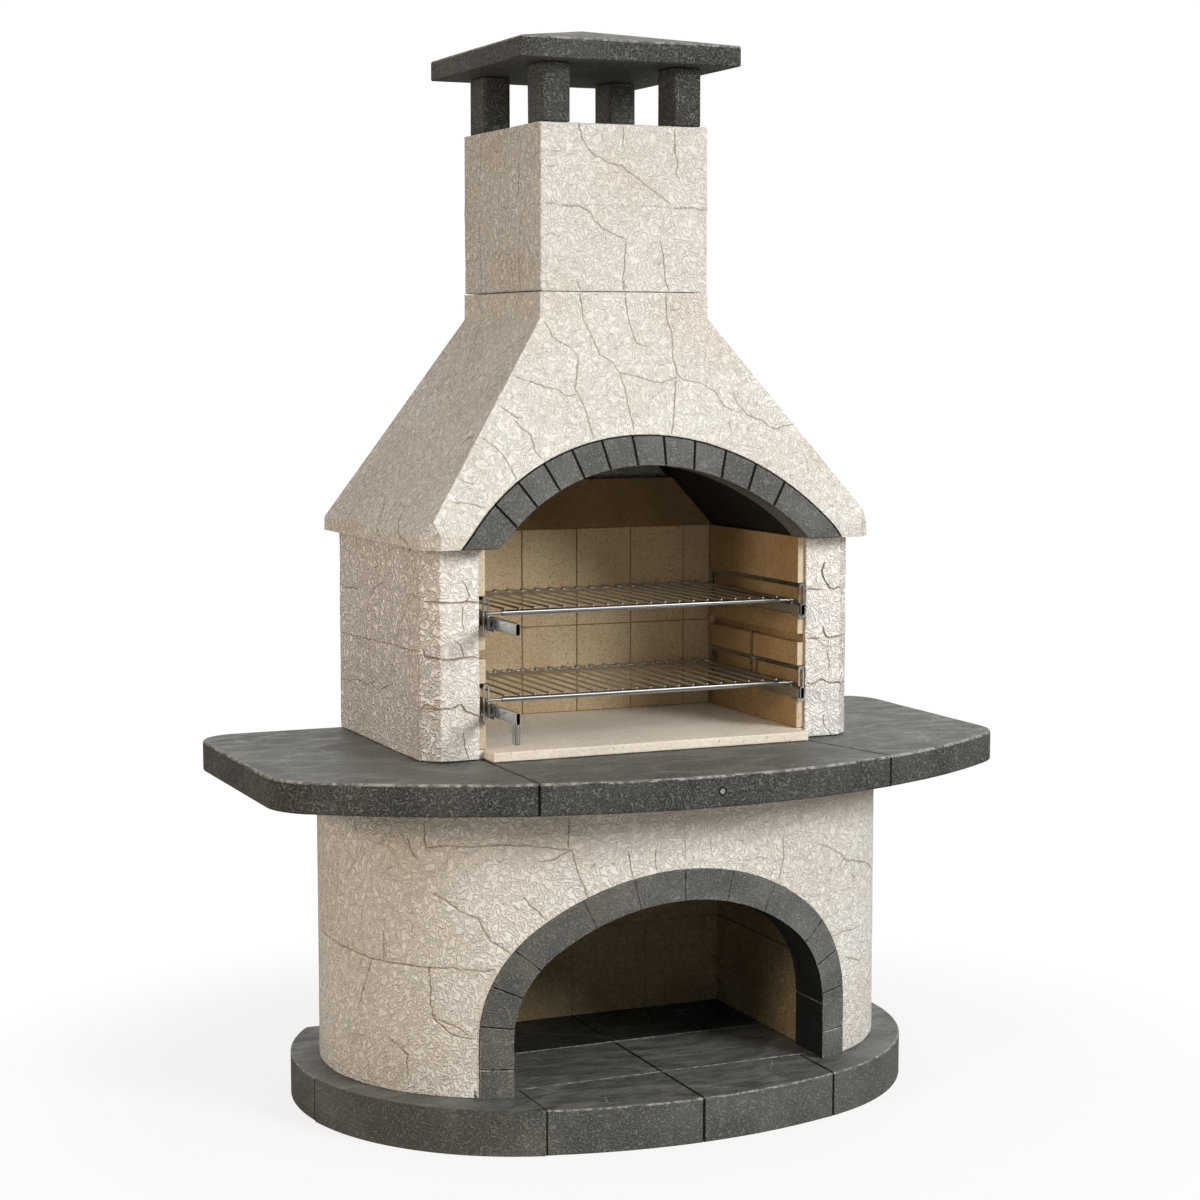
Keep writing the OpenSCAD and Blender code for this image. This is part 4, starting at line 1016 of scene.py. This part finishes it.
def wireTree(material):
    # straight round bars: one row of repeated wires with round tips, two cross rods and two side wires
    tree = bpy.data.node_groups.new("grillWires", "GeometryNodeTree")
    tree.interface.new_socket(name="Geometry", in_out="OUTPUT", socket_type="NodeSocketGeometry")
    for name in ("Wire count", "Wire pitch", "Wire radius", "Rod radius", "Side radius", "Rod half length",
                 "Rail X", "Front Y", "Rear Y", "Wire Z", "Rod Z", "Rear rod Z"):
        kind = "NodeSocketInt" if name == "Wire count" else "NodeSocketFloat"
        tree.interface.new_socket(name=name, in_out="INPUT", socket_type=kind)
    given = addNode(tree, "NodeGroupInput").outputs

    def vector(x=0.0, y=0.0, z=0.0):
        return addNode(tree, "ShaderNodeCombineXYZ", X=x, Y=y, Z=z)

    def bar(start, end, radius, sides):
        line = addNode(tree, "GeometryNodeCurvePrimitiveLine", Start=start, End=end)
        ring = addNode(tree, "GeometryNodeCurvePrimitiveCircle", Resolution=sides, Radius=radius)
        return addNode(tree, "GeometryNodeCurveToMesh", Curve=line, Profile_Curve=ring, Fill_Caps=True)

    def join(*parts):
        joined = addNode(tree, "GeometryNodeJoinGeometry")
        for part in parts:
            tree.links.new(part.outputs[0], joined.inputs[0])
        return joined

    def negative(value):
        return times(tree, value, -1.0)

    half, frontY, rearY, rodZ = (given[n] for n in ("Rod half length", "Front Y", "Rear Y", "Rod Z"))
    past = sums(tree, "SUBTRACT", frontY, given["Rod radius"])
    behind = sums(tree, "ADD", rearY, given["Rod radius"])
    wire = bar(vector(0.0, behind), vector(0.0, past), given["Wire radius"], 12)
    ball = addNode(tree, "GeometryNodeMeshUVSphere", Segments=12, Rings=6, Radius=given["Wire radius"])
    tips = [addNode(tree, "GeometryNodeTransform", Geometry=ball, Translation=vector(0.0, y))
            for y in (past, behind)]
    gaps = sums(tree, "SUBTRACT", given["Wire count"], 1.0)
    first = times(tree, times(tree, gaps, given["Wire pitch"]), -0.5)
    row = addNode(tree, "GeometryNodeMeshLine", {"mode": "OFFSET"}, Count=given["Wire count"],
                  Start_Location=vector(first, 0.0, given["Wire Z"]), Offset=vector(given["Wire pitch"]))
    wires = addNode(tree, "GeometryNodeInstanceOnPoints", Points=row, Instance=join(wire, *tips))
    rods = [bar(vector(negative(half), y, z), vector(half, y, z), given["Rod radius"], 16)
            for y, z in ((frontY, rodZ), (rearY, given["Rear rod Z"]))]
    sides = [bar(vector(x, rearY, rodZ), vector(x, frontY, rodZ), given["Side radius"], 14)
             for x in (given["Rail X"], negative(given["Rail X"]))]
    real = addNode(tree, "GeometryNodeRealizeInstances", Geometry=join(wires, *rods, *sides))
    smooth = addNode(tree, "GeometryNodeSetShadeSmooth", Geometry=real)
    painted = addNode(tree, "GeometryNodeSetMaterial", Geometry=smooth, Material=material)
    addNode(tree, "NodeGroupOutput", i0=painted)
    return tree


def turnedTube(values, y, z, sides=28):
    # the front tube: a bored end with a small rounded lip on each side
    half, r = values["tubeHalf"] / 1000, values["tubeDiameter"] / 2000
    bore, deep, lip = r - values["tubeWall"] / 1000, values["rodDiameter"] / 2000, 0.0006
    profile = [(-half + deep, 0.0), (-half + deep, bore), (-half, bore), (-half, r - lip), (-half + lip, r)]
    profile += [(-x, q) for x, q in reversed(profile)]
    shape = bmesh.new()
    rings = []
    for x, q in profile:
        if q == 0.0:
            rings.append([shape.verts.new((x, y, z))])
        else:
            rings.append([shape.verts.new((x, y + q * math.cos(k * 2 * math.pi / sides),
                                           z + q * math.sin(k * 2 * math.pi / sides))) for k in range(sides)])
    for one, two in zip(rings, rings[1:]):
        for k in range(sides):
            j = (k + 1) % sides
            corners = [one[k % len(one)], one[j % len(one)], two[j % len(two)], two[k % len(two)]]
            shape.faces.new(list(dict.fromkeys(corners)))
    bmesh.ops.recalc_face_normals(shape, faces=shape.faces)
    return shape


def buildGrill(name, tree, values):
    low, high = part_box(name)
    mm = 0.001
    tubeR = values["tubeDiameter"] / 2 * mm
    rodZ = low.z + tubeR
    wireZ = rodZ + (values["tubeDiameter"] + values["wireDiameter"]) / 2 * mm - values["weld"] * mm
    rearZ = wireZ - (values["rodDiameter"] + values["wireDiameter"]) / 2 * mm + values["weld"] * mm
    frontY = low.y + tubeR
    rearY = high.y - values["rodDiameter"] / 2 * mm
    piece = linkObject(name + ".look", bpy.data.meshes.new(name), finish["chrome"])
    made = piece.modifiers.new("wires", "NODES")
    made.node_group = tree
    given = {
        "Wire count": values["wireCount"], "Wire pitch": values["wirePitch"] * mm,
        "Wire radius": values["wireDiameter"] / 2 * mm, "Rod radius": values["rodDiameter"] / 2 * mm,
        "Side radius": values["sideDiameter"] / 2 * mm, "Rail X": values["railX"] * mm,
        "Rod half length": high.x, "Front Y": frontY, "Rear Y": rearY, "Wire Z": wireZ, "Rod Z": rodZ,
        "Rear rod Z": rearZ,
    }
    for socket in tree.interface.items_tree:
        if socket.in_out == "INPUT":
            made[socket.identifier] = given[socket.name]
    freeze(piece)
    shape = turnedTube(values, frontY, rodZ)
    shape.from_mesh(piece.data)
    for f in shape.faces:
        f.smooth = True
        f.material_index = 0
    shape.to_mesh(piece.data)
    shape.free()
    piece.data.materials.clear()
    piece.data.materials.append(finish["chrome"])
    piece.data.set_sharp_from_angle(angle=math.radians(45))
    standFor(piece, name)


wires = wireTree(finish["chrome"])
for name in ("grill_upper", "grill_lower"):
    buildGrill(name, wires, grillSet)
print("grills built")

# carriers, rest rails and the screw keep their solids' shape with eased edges
steelSet = {"edge": 0.5, "screwEdge": 0.3}  # mm
for name in named("carrier") + named("rest_rail"):
    dress(name, (finish["chrome"],), steelSet["edge"])
dress("worktop_screw", (finish["plated"],), steelSet["screwEdge"])
print("steelwork dressed")

# plain pale floor and soft studio light
stageSet = {
    "floorHalf": 14.0,  # metres
    "floorTone": "#bdb7ad",
    "floorSeen": "#f8f6f3",  # as the camera sees it
    "glow": 0.80,  # share of plain white in what the camera sees of the floor
    "fadeFrom": 0.9,  # metres from the middle where the floor starts to turn white
    "fadeTo": 1.6,
    "ambientTone": "#fffdfa",
    "ambientLow": 0.20,
    "ambientHigh": 0.48,
    "mirrorFront": 0.28,  # what polished faces see in front, and behind
    "mirrorBack": 0.90,
    "mirrorBand": 3.2,  # a bright band above the front, which draws a thin line along the steel
    "bandHeight": 0.52,  # how steeply up it lies, 1 being overhead
    "keyPlace": (4.3, -6.9, 4.4),
    "keySize": 3.2,
    "keyPower": 590.0,
    "keyTone": "#ffffff",
    "fillPlace": (-5.0, -2.2, 2.2),
    "fillSize": 1.2,
    "fillPower": 98.0,
    "fillTone": "#ffe8cf",
    "aimHeight": 0.9,  # metres, the point on the middle axis that both lights face
}


def makeStage(values):
    half = values["floorHalf"]
    mesh = bpy.data.meshes.new("floor")
    corners = [(-half, -half, 0), (half, -half, 0), (half, half, 0), (-half, half, 0)]
    mesh.from_pydata(corners, [], [(0, 1, 2, 3)])
    material, tree = newMaterial("studioFloor")
    away = vectors(tree, "LENGTH", addNode(tree, "ShaderNodeTexCoord").outputs["Object"]).outputs["Value"]
    far = between(tree, away, values["fadeFrom"], values["fadeTo"], (values["glow"], 1.0))
    seen = addNode(tree, "ShaderNodeLightPath").outputs["Is Camera Ray"]
    tone = blendColour(tree, seen, hexColour(values["floorTone"]), hexColour(values["floorSeen"]))
    matt = addNode(tree, "ShaderNodeBsdfDiffuse", Color=tone)
    glow = addNode(tree, "ShaderNodeEmission")
    mixed = addNode(tree, "ShaderNodeMixShader", i0=times(tree, far, seen), i1=matt, i2=glow)
    addNode(tree, "ShaderNodeOutputMaterial", Surface=mixed)
    linkObject("floor", mesh, material)

    # white to the camera, a soft overhead room to matt faces, and to polished ones a pale wall behind
    # with a dim room in front
    world = bpy.data.worlds.new("studio")
    bpy.context.scene.world = world
    world.use_nodes = True
    tree = world.node_tree
    tree.nodes.clear()
    rays = addNode(tree, "ShaderNodeLightPath").outputs
    way = addNode(tree, "ShaderNodeTexCoord").outputs["Generated"]
    _, back, up = addNode(tree, "ShaderNodeSeparateXYZ", Vector=way).outputs
    matt = between(tree, up, -0.1, 0.9, (values["ambientLow"], values["ambientHigh"]))
    mirror = between(tree, back, -0.35, 0.35, (values["mirrorFront"], values["mirrorBack"]))
    high = sums(tree, "ABSOLUTE", sums(tree, "SUBTRACT", up, values["bandHeight"]))
    band = times(tree, between(tree, high, 0.10, 0.24, (values["mirrorBand"], 0.0)),
                 between(tree, back, -0.3, 0.0, (1.0, 0.0)))
    mirror = sums(tree, "ADD", mirror, band)
    strength = blendValue(tree, rays["Is Glossy Ray"], matt, mirror)
    shown = sums(tree, "MAXIMUM", rays["Is Camera Ray"], rays["Is Transmission Ray"])
    strength = blendValue(tree, shown, strength, 1.0)
    tone = blendColour(tree, shown, hexColour(values["ambientTone"]), (1, 1, 1, 1))
    sky = addNode(tree, "ShaderNodeBackground", Color=tone, Strength=strength)
    addNode(tree, "ShaderNodeOutputWorld", Surface=sky)

    for name in ("key", "fill"):
        place = values[name + "Place"]
        data = bpy.data.lights.new(name, "AREA")
        data.shape = "DISK"
        data.size = values[name + "Size"]
        data.energy = values[name + "Power"]
        data.color = hexColour(values[name + "Tone"])[:3]
        lamp = linkObject(name, data)
        lamp.location = place
        aim = Vector((0, 0, values["aimHeight"])) - Vector(place)
        lamp.rotation_euler = aim.to_track_quat("-Z", "Y").to_euler()
        lamp.visible_glossy = False  # the steel mirrors the room's band instead


makeStage(stageSet)
print("stage and lights set")
